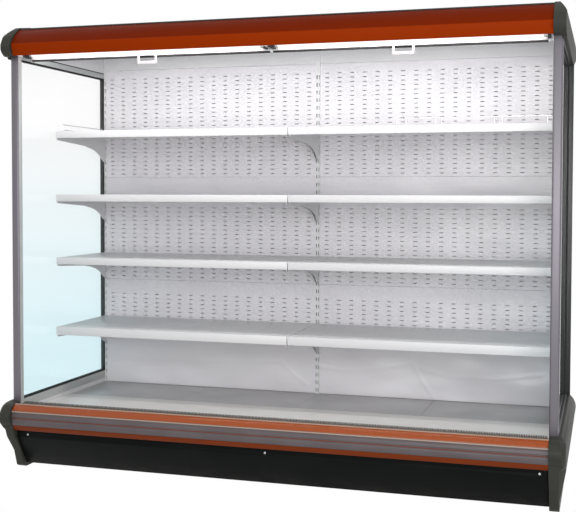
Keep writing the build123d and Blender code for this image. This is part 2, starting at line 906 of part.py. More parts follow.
# ---- Drain in the tub floor ----
with BuildPart() as drain_pipe:
    flange_top = tub_inside + drain_wall
    upright_rods([(drain_x, drain_depth)], drain_radius, drain_tail, flange_top)
    upright_rods([(drain_x, drain_depth)], drain_radius + drain_flange, tub_inside, flange_top)
    bore = drain_radius - drain_wall
    upright_rods([(drain_x, drain_depth)], bore, drain_tail, flange_top, mode=Mode.SUBTRACT)
drain_pipe.part.label = "drain_pipe"
export_step(drain_pipe.part, "parts/drain_pipe.step")

# ---- Insulated back panel ----
with BuildPart() as back_panel_insulated:
    block((-bay_width, bay_width), (back_face, body_depth), (tub_bottom, roof_bottom))
back_panel_insulated.part.label = "back_panel_insulated"
export_step(back_panel_insulated.part, "parts/back_panel_insulated.step")

# ---- Slotted uprights that carry the shelf brackets ----
slot_start = slot_base + upright_slot_lead
end_slot_x = bay_width - end_upright_width / 2
slot_xs = (-upright_slot_offset, upright_slot_offset, -end_slot_x, end_slot_x)


def slot_height(number):
    """Height of the middle of an upright's slot."""
    return slot_start + number * slot_pitch


with BuildPart() as slotted_uprights:
    for middle_x, width in (
        (0, upright_width),
        (-end_slot_x, end_upright_width),
        (end_slot_x, end_upright_width),
    ):
        upright_x = (middle_x - width / 2, middle_x + width / 2)
        block(upright_x, (upright_face, back_face), (tub_inside, roof_bottom))
        hollow_x = (upright_x[0] + upright_wall, upright_x[1] - upright_wall)
        hollow_y = (upright_face + upright_wall, back_face - upright_wall)
        block(hollow_x, hollow_y, (tub_inside, roof_bottom), mode=Mode.SUBTRACT)
    with BuildSketch(facing(upright_face + upright_wall)) as slots:
        for slot_x in slot_xs:
            with Locations((slot_x, (slot_height(0) + slot_height(slot_count - 1)) / 2)):
                with GridLocations(slot_pitch, slot_pitch, 1, slot_count):
                    Rectangle(upright_slot_width, upright_slot_height)
    extrude(slots.sketch, amount=upright_wall, dir=(0, -1, 0), mode=Mode.SUBTRACT)
slotted_uprights.part.label = "slotted_uprights"
export_step(slotted_uprights.part, "parts/slotted_uprights.step")

# ---- Rear sheets: one for each bay and height, with rows of air slots ----
sheet_inner = upright_width / 2 + seat_gap
sheet_outer = bay_width - end_upright_width - seat_gap
sheet_middle = (sheet_inner + sheet_outer) / 2


def rear_sheets(bottom, top, row_count=0, first_row=0):
    """The left and right rear sheets between two heights."""
    with BuildSketch(facing(wall_face + rear_steel)) as faces:
        for side in sides.values():
            with Locations((side * sheet_middle, (bottom + top) / 2)):
                plain = Rectangle(sheet_outer - sheet_inner, top - bottom, mode=Mode.PRIVATE)
            if row_count == 0:
                add(plain)
                continue
            row_middle = first_row + (row_count - 1) * row_pitch / 2
            with Locations((side * sheet_middle, row_middle)):
                with GridLocations(column_pitch, row_pitch, column_count, row_count):
                    slots = Rectangle(air_slot_width, air_slot_height, mode=Mode.PRIVATE)
            add(pierced(plain, slots))
    extrude(faces.sketch, amount=rear_steel, dir=(0, -1, 0))


with BuildPart() as rear_panels_upper:
    rear_sheets(seam_high + sheet_joint, seam_head, upper_rows, upper_row_start)
rear_panels_upper.part.label = "rear_panels_upper"
export_step(rear_panels_upper.part, "parts/rear_panels_upper.step")

with BuildPart() as rear_panels_middle:
    rear_sheets(seam_middle + sheet_joint, seam_high, middle_rows, middle_row_start)
rear_panels_middle.part.label = "rear_panels_middle"
export_step(rear_panels_middle.part, "parts/rear_panels_middle.step")

with BuildPart() as rear_panels_lower:
    rear_sheets(seam_low + sheet_joint, seam_middle, lower_rows, lower_row_start)
    rear_sheets(deck_height + sheet_joint, seam_low)
rear_panels_lower.part.label = "rear_panels_lower"
export_step(rear_panels_lower.part, "parts/rear_panels_lower.step")

# ---- Glazed ends: posts and rails, double glazing, seals and rear corner profiles ----
glass_x = (bay_width + glass_inset, bay_width + glass_inset + glass_thickness)
groove_x = (glass_x[0] - seat_gap, glass_x[1] + seat_gap)
rail_top = end_sill + end_rail_height
top_rail_low = head_base - head_seal - top_rail_height
top_rail_high = head_base - head_seal


def on_side(side, span):
    """A span of widths on the left or right of the fridge."""
    return (side * span[0], side * span[1])


with BuildPart() as end_frames:
    for side in sides.values():
        wall_x = on_side(side, (bay_width, outer))
        slot_x = on_side(side, groove_x)
        with BuildSketch(level(end_sill)) as post_plan:
            with Locations((sum(wall_x) / 2, post_depth / 2)):
                Rectangle(end_wall, post_depth)
            fillet(post_plan.vertices().group_by(Axis.Y)[0], post_round)
        extrude(post_plan.sketch, amount=head_base - end_sill, dir=(0, 0, 1))
        block(wall_x, (post_depth, corner_front), (end_sill, rail_top))
        block(wall_x, (post_depth, corner_front), (top_rail_low, top_rail_high))
        groove_y = (post_depth - groove_depth, corner_front)
        block(slot_x, groove_y, (rail_top - groove_depth, top_rail_low + groove_depth), Mode.SUBTRACT)
end_frames.part.label = "end_frames"
export_step(end_frames.part, "parts/end_frames.step")

with BuildPart() as end_glass:
    for side in sides.values():
        glass_y = (post_depth - glass_entry, corner_front + glass_entry)
        block(on_side(side, glass_x), glass_y, (rail_top - glass_entry, top_rail_low + glass_entry))
end_glass.part.label = "end_glass"
export_step(end_glass.part, "parts/end_glass.step")

with BuildPart() as glass_seals:
    for side in sides.values():
        for bead_x in ((glass_x[0] - bead_width, glass_x[0]), (glass_x[1], glass_x[1] + bead_width)):
            bead_span = on_side(side, bead_x)
            block(bead_span, (post_depth, corner_front), (rail_top, top_rail_low))
            inner_y = (post_depth + bead_height, corner_front - bead_height)
            inner_z = (rail_top + bead_height, top_rail_low - bead_height)
            block(bead_span, inner_y, inner_z, mode=Mode.SUBTRACT)
        seal_x = on_side(side, (bay_width, outer))
        block(seal_x, (post_depth, corner_front), (top_rail_high, head_base))
glass_seals.part.label = "glass_seals"
export_step(glass_seals.part, "parts/glass_seals.step")

with BuildPart() as rear_corner_profiles:
    for side in sides.values():
        corner_y = (corner_front, body_depth)
        block(on_side(side, (bay_width, outer)), corner_y, (end_sill, head_base))
        wing_z = (base_cap_top + seat_gap, canopy_cap_low - seat_gap)
        block(on_side(side, (outer, outer + corner_wing)), corner_y, wing_z)
        groove_y = (corner_front, corner_front + groove_depth)
        groove_z = (rail_top - groove_depth, top_rail_low + groove_depth)
        block(on_side(side, groove_x), groove_y, groove_z, mode=Mode.SUBTRACT)
rear_corner_profiles.part.label = "rear_corner_profiles"
export_step(rear_corner_profiles.part, "parts/rear_corner_profiles.step")


# ---- Roof and canopy ----
def cover_height(depth):
    """Height of the sloped top cover's upper side."""
    return canopy_base + cover_rise + (depth - cover_front) * cover_slope


roof_rebate = roof_slope_end + cover_rebate
roof_outline = [
    (body_depth, overall_height),
    (roof_rebate, overall_height),
    (roof_rebate, cover_height(roof_slope_end) - cover_steel - cover_rebate),
    (roof_nose, cover_height(roof_nose) - cover_steel - cover_rebate),
    (roof_nose, roof_bottom - roof_nose_drop),
    (roof_slope_end, roof_bottom),
    (body_depth, roof_bottom),
]

with BuildPart() as roof_panel:
    bar(roof_outline, -bay_width, bay_width)
roof_panel.part.label = "roof_panel"
export_step(roof_panel.part, "parts/roof_panel.step")

board_outline = [
    (seat_gap, head_base),
    (seat_gap, canopy_base + 80),
    (post_depth, canopy_base + 112),
    (roof_nose, roof_bottom - roof_nose_drop),
    (roof_slope_end, roof_bottom),
    (body_depth - cap_wall - seat_gap, roof_bottom),
    (body_depth - cap_wall - seat_gap, head_base),
]

with BuildPart() as head_liners:
    for side in sides.values():
        bar(board_outline, side * bay_width, side * (bay_width + head_board))
        header_x = on_side(side, (sheet_inner, sheet_outer))
        header_z = (seam_head + sheet_joint, canopy_base + duct_rear)
        block(header_x, (wall_face, wall_face + rear_steel), header_z)
        for edge in (sheet_inner, sheet_outer - rear_steel):
            fold_x = on_side(side, (edge, edge + rear_steel))
            block(fold_x, (wall_face, wall_face + rear_fold), header_z)
head_liners.part.label = "head_liners"
export_step(head_liners.part, "parts/head_liners.step")

with BuildPart() as canopy_cap_right:
    add(cap_bulk(canopy_cap_views, 0))
    add(cap_bulk(canopy_cap_views, cap_wall), mode=Mode.SUBTRACT)
    block((0, outer), (0, cap_rear), (0, head_base), mode=Mode.SUBTRACT)
    bar(board_outline, 0, bay_width + head_board, mode=Mode.SUBTRACT)
canopy_cap_right.part.label = "canopy_cap_right"
export_step(canopy_cap_right.part, "parts/canopy_cap_right.step")

with BuildPart() as canopy_cap_left:
    mirror(canopy_cap_right.part, about=Plane.YZ)
canopy_cap_left.part.label = "canopy_cap_left"
export_step(canopy_cap_left.part, "parts/canopy_cap_left.step")

# The fascia: a short return under it, a leaning lower face, a crease and a rounded upper face.
fascia_foot = [(-30, canopy_base + 2), (-38, canopy_base + 2), (-56, canopy_base + 52)]
fascia_crease = (-51, canopy_base + 59)
fascia_round = (-19, canopy_base + 102)
fascia_head = (24.5, canopy_base + 132)
cover_lip = (25.5, canopy_base + 134.5)
cover_edge = (cover_front, canopy_base + cover_rise)


def fascia_curve():
    """The fascia's shown side, from its return to its upper edge."""
    Polyline(*fascia_foot, fascia_crease)
    ThreePointArc(fascia_crease, fascia_round, fascia_head)


with BuildPart() as fascia_panel:
    with BuildSketch(across(-trim_end)) as fascia_outline:
        with BuildLine():
            fascia_curve()
            offset(amount=fascia_steel, side=Side.RIGHT, kind=Kind.INTERSECTION)
        make_face()
    extrude(fascia_outline.sketch, amount=2 * trim_end, dir=(1, 0, 0))
fascia_panel.part.label = "fascia_panel"
export_step(fascia_panel.part, "parts/fascia_panel.step")

with BuildPart() as canopy_top_cover:
    cover_line = [cover_lip, cover_edge, (roof_slope_end, overall_height)]
    sheet(cover_line, -cover_steel, -trim_end, trim_end)
canopy_top_cover.part.label = "canopy_top_cover"
export_step(canopy_top_cover.part, "parts/canopy_top_cover.step")

# ---- Canopy brackets: one in the middle and one at each end, bored for the blind rollers ----
bracket_spans = (
    (-bracket_steel / 2, bracket_steel / 2),
    (-bay_width, -bay_width + bracket_steel),
    (bay_width - bracket_steel, bay_width),
)
roller_height = canopy_base + roller_rise

with BuildPart() as canopy_brackets:
    for span in bracket_spans:
        with BuildSketch(across(span[0])) as plate:
            with BuildLine():
                fascia_curve()
                Polyline(
                    fascia_head,
                    cover_edge,
                    (roof_nose, cover_height(roof_nose)),
                    (roof_nose, roof_bottom - roof_nose_drop),
                    (bracket_rear, roof_bottom - fascia_steel),
                    (bracket_rear, canopy_base + 2),
                    fascia_foot[0],
                )
            make_face()
            offset(amount=-fascia_steel, kind=Kind.INTERSECTION)
        extrude(plate.sketch, amount=span[1] - span[0], dir=(1, 0, 0))
    pin_bore = roller_pin_radius + shaft_gap
    bore_place = [(roller_depth, roller_height)]
    cross_rods(bore_place, pin_bore, -bay_width, bay_width, mode=Mode.SUBTRACT)
canopy_brackets.part.label = "canopy_brackets"
export_step(canopy_brackets.part, "parts/canopy_brackets.step")

# ---- Air duct above the shelves ----
duct_line = [
    (duct_front, canopy_base + duct_rise + duct_lip),
    (duct_front, canopy_base + duct_rise),
    (upright_face - seat_gap, canopy_base + duct_rear),
]

with BuildPart() as ceiling_duct_panel:
    sheet(duct_line, duct_steel, -bay_width, bay_width)
ceiling_duct_panel.part.label = "ceiling_duct_panel"
export_step(ceiling_duct_panel.part, "parts/ceiling_duct_panel.step")

bay_inner = bracket_steel / 2 + seat_gap
bay_outer = bay_width - bracket_steel - seat_gap
bay_middle = (bay_inner + bay_outer) / 2
comb_rear = duct_front - seat_gap
comb_spacing = comb_radius * math.cos(math.pi / 6) + comb_wall / 2
comb_columns = int((bay_outer - bay_inner - 3 * comb_radius) / (comb_spacing * math.sqrt(3))) + 1

with BuildPart() as air_honeycomb:
    with BuildSketch(level(canopy_base + comb_low)) as combs:
        for side in sides.values():
            with Locations((side * bay_middle, (comb_front + comb_rear) / 2)):
                plain = Rectangle(bay_outer - bay_inner, comb_rear - comb_front, mode=Mode.PRIVATE)
                with HexLocations(comb_spacing, comb_columns, comb_rows):
                    cells = RegularPolygon(comb_radius, 6, mode=Mode.PRIVATE)
            add(pierced(plain, cells))
    extrude(combs.sketch, amount=comb_high - comb_low, dir=(0, 0, 1))
air_honeycomb.part.label = "air_honeycomb"
export_step(air_honeycomb.part, "parts/air_honeycomb.step")

# ---- Canopy lamps: one tube for each bay, in holders hung from a batten ----
lamp_height = canopy_base + lamp_rise
lamp_end = lamp_start + lamp_length
pin_places = [
    (lamp_depth - lamp_pin_spread, lamp_height),
    (lamp_depth + lamp_pin_spread, lamp_height),
]
pin_ends = (lamp_start - lamp_pin_length, lamp_end + lamp_pin_length)

with BuildPart() as lamp_tubes:
    for side in sides.values():
        cross_rods([(lamp_depth, lamp_height)], lamp_radius, side * lamp_start, side * lamp_end)
        cross_rods(pin_places, lamp_pin_radius, side * pin_ends[0], side * lamp_start)
        cross_rods(pin_places, lamp_pin_radius, side * lamp_end, side * pin_ends[1])
lamp_tubes.part.label = "lamp_tubes"
export_step(lamp_tubes.part, "parts/lamp_tubes.step")

with BuildPart() as lamp_holders:
    for side in sides.values():
        batten_x = on_side(side, (bay_inner, bay_outer))
        batten_z = (canopy_base + batten_low, canopy_base + batten_high)
        block(batten_x, (batten_front, batten_rear), batten_z)
        near_x = lamp_start - seat_gap
        far_x = lamp_end + seat_gap
        holder_y = (lamp_depth - holder_width / 2, lamp_depth + holder_width / 2)
        for holder_x in ((near_x - holder_thickness, near_x), (far_x, far_x + holder_thickness)):
            holder_z = (lamp_height - holder_drop, batten_z[0])
            block(on_side(side, holder_x), holder_y, holder_z)
        pin_hole = lamp_pin_radius + seat_gap
        holes = on_side(side, (pin_ends[0] - seat_gap, pin_ends[1] + seat_gap))
        cross_rods(pin_places, pin_hole, *holes, mode=Mode.SUBTRACT)
lamp_holders.part.label = "lamp_holders"
export_step(lamp_holders.part, "parts/lamp_holders.step")

# ---- Night blinds: cassette, roller, cloth, pull bar and handle for each bay ----
cassette_front = roller_depth - cassette_half
cassette_rear = roller_depth + cassette_half
cassette_line = [
    (cassette_front, roller_height - cassette_half),
    (cassette_front, roller_height + cassette_half),
    (cassette_rear, roller_height + cassette_half),
    (cassette_rear, roller_height - cassette_half),
]
cassette_head = cover_height(cassette_rear - cassette_steel) - cover_steel - 1
cloth_rear = roller_depth - roller_radius - seat_gap
cloth_top = roller_height - 2
bar_top_height = canopy_base + bar_top
bar_low_height = bar_top_height - bar_height

with BuildPart() as blind_cassettes:
    for side in sides.values():
        sheet(cassette_line, -cassette_steel, side * bay_inner, side * bay_outer)
        hanger_y = (cassette_rear - cassette_steel, cassette_rear)
        hanger_z = (roller_height + cassette_half, cassette_head)
        block(on_side(side, (bay_inner, bay_outer)), hanger_y, hanger_z)
blind_cassettes.part.label = "blind_cassettes"
export_step(blind_cassettes.part, "parts/blind_cassettes.step")

for name, side in sides.items():
    roller_ends = (bracket_steel / 2 + roller_inset, bay_width - bracket_steel - roller_inset)
    pin_tips = (2 * seat_gap, bay_width - seat_gap)
    axle = [(roller_depth, roller_height)]
    with BuildPart() as blind_roller:
        cross_rods(axle, roller_radius, side * roller_ends[0], side * roller_ends[1])
        cross_rods(axle, roller_pin_radius, side * pin_tips[0], side * pin_tips[1])
    blind_roller.part.label = f"blind_roller_{name}"
    export_step(blind_roller.part, f"parts/blind_roller_{name}.step")

    cloth_x = on_side(side, (bar_inner + cloth_inset, bar_outer - cloth_inset))
    with BuildPart() as blind_cloth:
        cloth_y = (cloth_rear - cloth_thickness, cloth_rear)
        block(cloth_x, cloth_y, (bar_top_height + seat_gap, cloth_top))
    blind_cloth.part.label = f"blind_cloth_{name}"
    export_step(blind_cloth.part, f"parts/blind_cloth_{name}.step")

    bar_x = on_side(side, (bar_inner, bar_outer))
    with BuildPart() as blind_bar:
        block(bar_x, (bar_front, bar_rear), (bar_low_height, bar_top_height))
        fillet(blind_bar.edges().filter_by(Axis.X).group_by(Axis.Z)[-1], bar_edge)
        seal_middle = (bar_front + bar_rear) / 2
        seal_y = (seal_middle - seal_depth / 2, seal_middle + seal_depth / 2)
        block(bar_x, seal_y, (bar_low_height - seal_height, bar_low_height))
    blind_bar.part.label = f"blind_bar_{name}"
    export_step(blind_bar.part, f"parts/blind_bar_{name}.step")

    with BuildPart() as blind_handle:
        handle_top = bar_low_height + handle_pad
        grip_low = handle_top - handle_height
        with BuildSketch(facing(bar_front)) as loop:
            with Locations((side * handle_centre, handle_top - handle_height / 2)):
                RectangleRounded(handle_width, handle_height, handle_arm / 2)
            window_z = (grip_low + handle_grip, bar_low_height)
            with Locations((side * handle_centre, sum(window_z) / 2)):
                window_width = handle_width - 2 * handle_arm
                window_round = handle_arm / 3
                RectangleRounded(window_width, window_z[1] - window_z[0], window_round, mode=Mode.SUBTRACT)
        extrude(loop.sketch, amount=handle_depth, dir=(0, -1, 0))
    blind_handle.part.label = f"blind_handle_{name}"
    export_step(blind_handle.part, f"parts/blind_handle_{name}.step")

# ---- Shelves: two trays at each level, numbered from the top ----
shelf_inner = shelf_gap
shelf_outer = bay_width - shelf_outer_gap
lowest = len(shelf_slots) - 1
shelf_levels = [slot_base + slot_pitch * number for number in shelf_slots]
shelf_lips = [low_shelf_lip if i == lowest else shelf_lip for i in range(len(shelf_slots))]
shelf_fronts = [shelf_front - low_shelf_reach * (i == lowest) for i in range(len(shelf_slots))]
tray_setback = price_rail_depth + seat_gap

for i, (shelf_z, lip, front) in enumerate(zip(shelf_levels, shelf_lips, shelf_fronts)):
    with BuildPart() as shelf_tray:
        top = shelf_z + lip - rail_steel
        for side in sides.values():
            tray_x = sorted(on_side(side, (shelf_inner, shelf_outer)))
            folded_pan(tray_x, (front + tray_setback, shelf_rear), top, shelf_flange, shelf_steel)
            cut_y = (shelf_rear - shelf_steel, shelf_rear)
            cut_z = (top - shelf_flange, top - shelf_rear_flange)
            block(tray_x, cut_y, cut_z, mode=Mode.SUBTRACT)
    shelf_tray.part.label = f"shelf_tray_{i + 1}"
    export_step(shelf_tray.part, f"parts/shelf_tray_{i + 1}.step")

with BuildPart() as price_rails:
    for shelf_z, lip, front in zip(shelf_levels, shelf_lips, shelf_fronts):
        rail_line = [
            (front + price_rail_depth, shelf_z + lip),
            (front, shelf_z + lip),
            (front, shelf_z),
            (front + price_rail_depth, shelf_z),
        ]
        for side in sides.values():
            sheet(rail_line, rail_steel, side * shelf_inner, side * shelf_outer)
price_rails.part.label = "price_rails"
export_step(price_rails.part, "parts/price_rails.step")

# Lower edge of a bracket: depth, and drop below the shelf's level.
bracket_edge = [(513, -18), (654, -26), (734, -38), (788, -51), (837, -72), (868, -96)]
bracket_root = -113
hook_slots = (0, -2)

hook_face = upright_face + upright_wall + seat_gap
hook_rear = hook_face + hook_thickness


def hook(middle):
    """A hook through an upright's slot, from its lower end at the bracket up and round."""
    low = middle - upright_slot_height / 2 + seat_gap
    return [
        (bracket_back, low),
        (hook_face, low),
        (hook_face, low - hook_drop),
        (hook_rear, low - hook_drop),
        (hook_rear, low + hook_height),
        (bracket_back, low + hook_height),
    ]


with BuildPart() as shelf_brackets:
    with BuildSketch(across(0)) as blades:
        for number, shelf_z, lip, front in zip(shelf_slots, shelf_levels, shelf_lips, shelf_fronts):
            under = shelf_z + lip - rail_steel - shelf_steel - seat_gap
            rear_under = shelf_z + lip - rail_steel - shelf_rear_flange - seat_gap
            nose = front + tray_setback + shelf_steel + seat_gap
            heel = shelf_rear - shelf_steel - seat_gap
            with BuildLine():
                Polyline(
                    (nose, under),
                    (nose, shelf_z - 10),
                    *raised(bracket_edge, shelf_z),
                    (bracket_back, shelf_z + bracket_root),
                    *hook(slot_height(number + hook_slots[1])),
                    *hook(slot_height(number + hook_slots[0])),
                    (bracket_back, rear_under),
                    (heel, rear_under),
                    (heel, under),
                    close=True,
                )
            make_face()
    for slot_x in slot_xs:
        with Locations((slot_x - shelf_bracket_steel / 2, 0, 0)):
            add(extrude(blades.sketch, amount=shelf_bracket_steel, dir=(1, 0, 0), mode=Mode.PRIVATE))
shelf_brackets.part.label = "shelf_brackets"
export_step(shelf_brackets.part, "parts/shelf_brackets.step")

# ---- Wire guards on the top shelves: a side guard on the left and a front fence on the right ----
guard_base = shelf_levels[0] + shelf_lip - rail_steel
side_guard_x = -shelf_outer + 2 * wire_radius
fence_y = shelf_front + fence_setback
guard_wires = [(side_guard_x, guard_base + rise) for rise in (guard_low, guard_high)]
guard_posts = [(side_guard_x, depth) for depth in (side_guard_front, side_guard_rear)]
fence_posts = [(x, fence_y) for pair in fence_pairs for x in pair]

with BuildPart() as wire_guards:
    wire_end = wire_radius + wire_overrun
    depth_rods(guard_wires, wire_radius, side_guard_front - wire_end, side_guard_rear + wire_end)
    upright_rods(guard_posts, guard_post_radius, guard_base, guard_base + guard_high)
    fence_ends = (fence_start - wire_end, fence_end + wire_end)
    cross_rods([(fence_y, guard_base + fence_wire)], wire_radius, *fence_ends)
    upright_rods(fence_posts, guard_post_radius, guard_base, guard_base + fence_wire)
wire_guards.part.label = "wire_guards"
export_step(wire_guards.part, "parts/wire_guards.step")
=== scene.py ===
"""Looks of an open multideck display fridge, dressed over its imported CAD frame.

The file is laid out as an add-on: property groups hold the sizes and colours, each operator
makes one group of pieces, and main() runs them all in order. Lengths are in metres.
"""

import json
import math

import bmesh
import bpy
from bpy.props import FloatProperty, FloatVectorProperty, IntProperty, PointerProperty
from mathutils import Matrix, Vector
from mathutils.geometry import intersect_point_line


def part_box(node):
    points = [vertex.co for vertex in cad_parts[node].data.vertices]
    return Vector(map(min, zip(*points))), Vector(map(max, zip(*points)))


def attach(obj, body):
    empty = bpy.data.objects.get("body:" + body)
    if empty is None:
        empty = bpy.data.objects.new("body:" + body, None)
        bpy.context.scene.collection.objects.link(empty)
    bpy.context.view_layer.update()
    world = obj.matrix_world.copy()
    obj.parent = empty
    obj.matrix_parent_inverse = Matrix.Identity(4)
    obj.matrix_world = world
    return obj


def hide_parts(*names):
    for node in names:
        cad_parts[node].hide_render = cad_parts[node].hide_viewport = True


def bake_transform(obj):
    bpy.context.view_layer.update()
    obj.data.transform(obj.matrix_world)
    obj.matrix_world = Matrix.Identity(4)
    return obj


bl_info = {
    "name": "Multideck display fridge",
    "version": (1, 0, 0),
    "blender": (4, 5, 0),
    "location": "3D View > Sidebar > Fridge",
    "description": "Dresses the CAD frame of an open display fridge",
    "category": "Object",
}

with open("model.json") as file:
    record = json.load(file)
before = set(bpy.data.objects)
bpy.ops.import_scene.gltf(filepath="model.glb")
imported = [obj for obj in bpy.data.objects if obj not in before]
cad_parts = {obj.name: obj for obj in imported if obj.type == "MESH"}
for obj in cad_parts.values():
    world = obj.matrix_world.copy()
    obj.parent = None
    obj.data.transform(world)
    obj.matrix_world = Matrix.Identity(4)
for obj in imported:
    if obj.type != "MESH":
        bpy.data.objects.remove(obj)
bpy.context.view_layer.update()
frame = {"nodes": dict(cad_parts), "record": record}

MM = 0.001
SIDES = {"left": -1, "right": 1}
SHELF_LEVELS = range(1, 5)
DECK_TRAYS = range(1, 5)
FANS = range(1, 4)
# Creases of the plain sheets over the deck, each a run of (width, height) in metres.
CREASES = (
    ((-1.23, 0.415), (-0.95, 0.43), (-0.6, 0.428), (-0.2, 0.44)),
    ((-0.2, 0.44), (-0.12, 0.37), (-0.05, 0.32)),
    ((0.025, 0.425), (0.16, 0.412), (0.37, 0.44), (0.51, 0.47)),
    ((0.52, 0.46), (0.57, 0.37), (0.63, 0.29)),
    ((0.53, 0.45), (0.69, 0.412), (0.93, 0.405), (1.17, 0.44)),
)


# ---- Settings ----
def colour_setting(name, description, default):
    """Colour that a user can change, as linear red, green and blue."""
    return FloatVectorProperty(
        name=name, description=description, default=default, subtype="COLOR", size=3, min=0, max=1
    )


def length_setting(name, description, default):
    """Length that a user can change, in metres."""
    return FloatProperty(name=name, description=description, default=default, min=0, unit="LENGTH")


class FridgeColours(bpy.types.PropertyGroup):
    orange: colour_setting("Orange", "Gloss paint of the bumper's top trim", (0.32, 0.064, 0.01))
    low_trim: colour_setting("Low trim", "Paint of the bumper's lower trim", (0.2, 0.034, 0.006))
    fascia: colour_setting("Fascia", "Orange-red paint of the canopy's front", (0.185, 0.0165, 0.001))
    # Fascia foot: painted light, the same paint made brighter below the crease where light falls on the
    # leaning face.
    fascia_painted_light: colour_setting("Fascia foot", "The paint below the crease", (0.31, 0.031, 0.001))
    bumper: colour_setting("Bumper", "Vinyl of the bumper rail", (0.105, 0.085, 0.09))
    # Bead: painted highlight, the cream of the light lines along the bumper's top trim.
    bead: colour_setting("Bead", "Cream beads along the bumper's top trim", (0.42, 0.31, 0.24))
    cap: colour_setting("Caps", "Moulded end caps", (0.036, 0.037, 0.031))
    kick: colour_setting("Kick plate", "Black enamel", (0.004, 0.0048, 0.0044))
    white: colour_setting("White", "White powder coat of shelves and liners", (0.73, 0.73, 0.74))
    rear: colour_setting("Rear wall", "Powder coat of the rear sheets", (0.76, 0.742, 0.77))
    post: colour_setting("Posts", "Satin anodised end posts and rails", (0.17, 0.157, 0.18))
    # Rails: painted light, a pale colour on the inner sides of posts and rails for the lamp light on them.
    rail: colour_setting("Rails", "Pale lining on the inner sides of posts and rails", (0.5, 0.52, 0.51))
    deck: colour_setting("Deck", "Grey enamel of the deck trays", (0.56, 0.545, 0.55))
    grille: colour_setting("Grille", "Pale enamel of the return grille", (0.86, 0.835, 0.81))
    # Glass: the panes' own tint at their foot; its fade to white higher up is painted light.
    glass: colour_setting("Glass", "Tint of the end panes at their foot", (0.86, 0.975, 1.0))
    cloth: colour_setting("Blind cloth", "Coated cloth of the night blinds", (0.62, 0.63, 0.65))
    lamp: colour_setting("Lamp", "Light of the canopy lamps", (1.0, 0.93, 0.95))


class FridgeSizes(bpy.types.PropertyGroup):
    edge: length_setting("Edge round", "Rounding of folded sheet edges", 0.4 * MM)
    cap_edge: length_setting("Cap edge round", "Rounding of the moulded caps", 1.2 * MM)
    pane: length_setting("Pane", "Thickness of one glass pane", 5 * MM)
    spacer: length_setting("Spacer", "Height of the spacer bar between two panes", 8 * MM)
    # Comb pitch: the rim's dark strips are painted shade for its air slots.
    slot_shade_pitch: length_setting("Comb pitch", "Spacing of the dark teeth on the tub's rim", 7 * MM)
    lamp_cap: length_setting("Lamp cap", "Length of a lamp's metal end cap", 16 * MM)
    fascia_crease: length_setting("Fascia crease", "Height of the canopy front's crease", 2060 * MM)
    # Half width inside which post and rail faces get the pale painted light.
    painted_light_lining: length_setting("Lining", "Half width within which the posts are lined", 1250.5 * MM)
    plain_top: length_setting("Plain top", "Height where the plain rear sheets end", 626 * MM)
    crease_rise: length_setting("Crease rise", "How far a crease stands out of its sheet", 1.4 * MM)
    crease_spread: length_setting("Crease spread", "Half width of a crease", 9 * MM)
    weave: FloatProperty(name="Weave", description="Threads of the cloth in a metre", default=900, min=1)
    cloth_rows: IntProperty(name="Cloth rows", description="Rows of faces in a cloth", default=60, min=2)


class FridgeStage(bpy.types.PropertyGroup):
    lens: FloatProperty(name="Lens", description="Focal length in millimetres", default=65.935, min=1)
    yaw: FloatProperty(name="Yaw", description="Turn to the left", default=0.29556, subtype="ANGLE")
    pitch: FloatProperty(name="Pitch", description="Tilt down", default=0.03729, subtype="ANGLE")
    roll: FloatProperty(name="Roll", description="Turn about the view", default=0.00225, subtype="ANGLE")
    place: FloatVectorProperty(
        name="Place", description="Camera's place", default=(1.4682, -4.95085, 1.34631), subtype="XYZ"
    )
    shift: FloatVectorProperty(name="Shift", description="Lens shift", default=(0.00506, -0.039), size=2)
    ambient: FloatProperty(name="Ambient", description="Light from all round", default=0.55, min=0)
    key: FloatProperty(name="Key", description="Front light's power", default=175, min=0, unit="POWER")
    glow: FloatProperty(name="Lamp glow", description="Strength of the lamp tubes", default=8.0, min=0)
    inside: FloatProperty(name="Inside", description="Bay light's power", default=3.5, min=0, unit="POWER")


def settings():
    """The scene's colours, sizes and stage."""
    scene = bpy.context.scene
    return scene.fridge_colours, scene.fridge_sizes, scene.fridge_stage


# ---- Shader node groups ----
def add_node(tree, kind, **values):
    """New node. Each value goes on the socket of that name, or else on the node's own setting."""
    made = tree.nodes.new(kind)
    for name, value in values.items():
        if name in made.inputs:
            made.inputs[name].default_value = value
        else:
            setattr(made, name, value)
    return made


def new_group(name, inputs, outputs):
    """Empty node group with float, vector and colour sockets, and its two end nodes."""
    kinds = {"float": "NodeSocketFloat", "vector": "NodeSocketVector", "colour": "NodeSocketColor"}
    tree = bpy.data.node_groups.new(name, "ShaderNodeTree")
    for socket, kind in inputs.items():
        tree.interface.new_socket(socket, in_out="INPUT", socket_type=kinds[kind])
    for socket, kind in outputs.items():
        tree.interface.new_socket(socket, in_out="OUTPUT", socket_type=kinds[kind])
    return tree, tree.nodes.new("NodeGroupInput"), tree.nodes.new("NodeGroupOutput")


def feed(tree, target, value):
    """Links a socket's input to another socket, or gives it a plain value."""
    if isinstance(value, bpy.types.NodeSocket):
        tree.links.new(value, target)
    else:
        target.default_value = value


def object_axis(tree, axis):
    """One Object coordinate."""
    place = tree.nodes.new("ShaderNodeTexCoord")
    apart = tree.nodes.new("ShaderNodeSeparateXYZ")
    tree.links.new(place.outputs["Object"], apart.inputs["Vector"])
    return apart.outputs[axis]


def stretched_noise(tree, stretch, scale, detail):
    """Noise on Object coordinates. Stretch and scale are a value or a socket."""
    place = tree.nodes.new("ShaderNodeTexCoord")
    pull = add_node(tree, "ShaderNodeVectorMath", operation="MULTIPLY")
    noise = add_node(tree, "ShaderNodeTexNoise", Detail=detail)
    tree.links.new(place.outputs["Object"], pull.inputs[0])
    feed(tree, pull.inputs[1], stretch)
    feed(tree, noise.inputs["Scale"], scale)
    tree.links.new(pull.outputs["Vector"], noise.inputs["Vector"])
    return noise.outputs["Fac"]


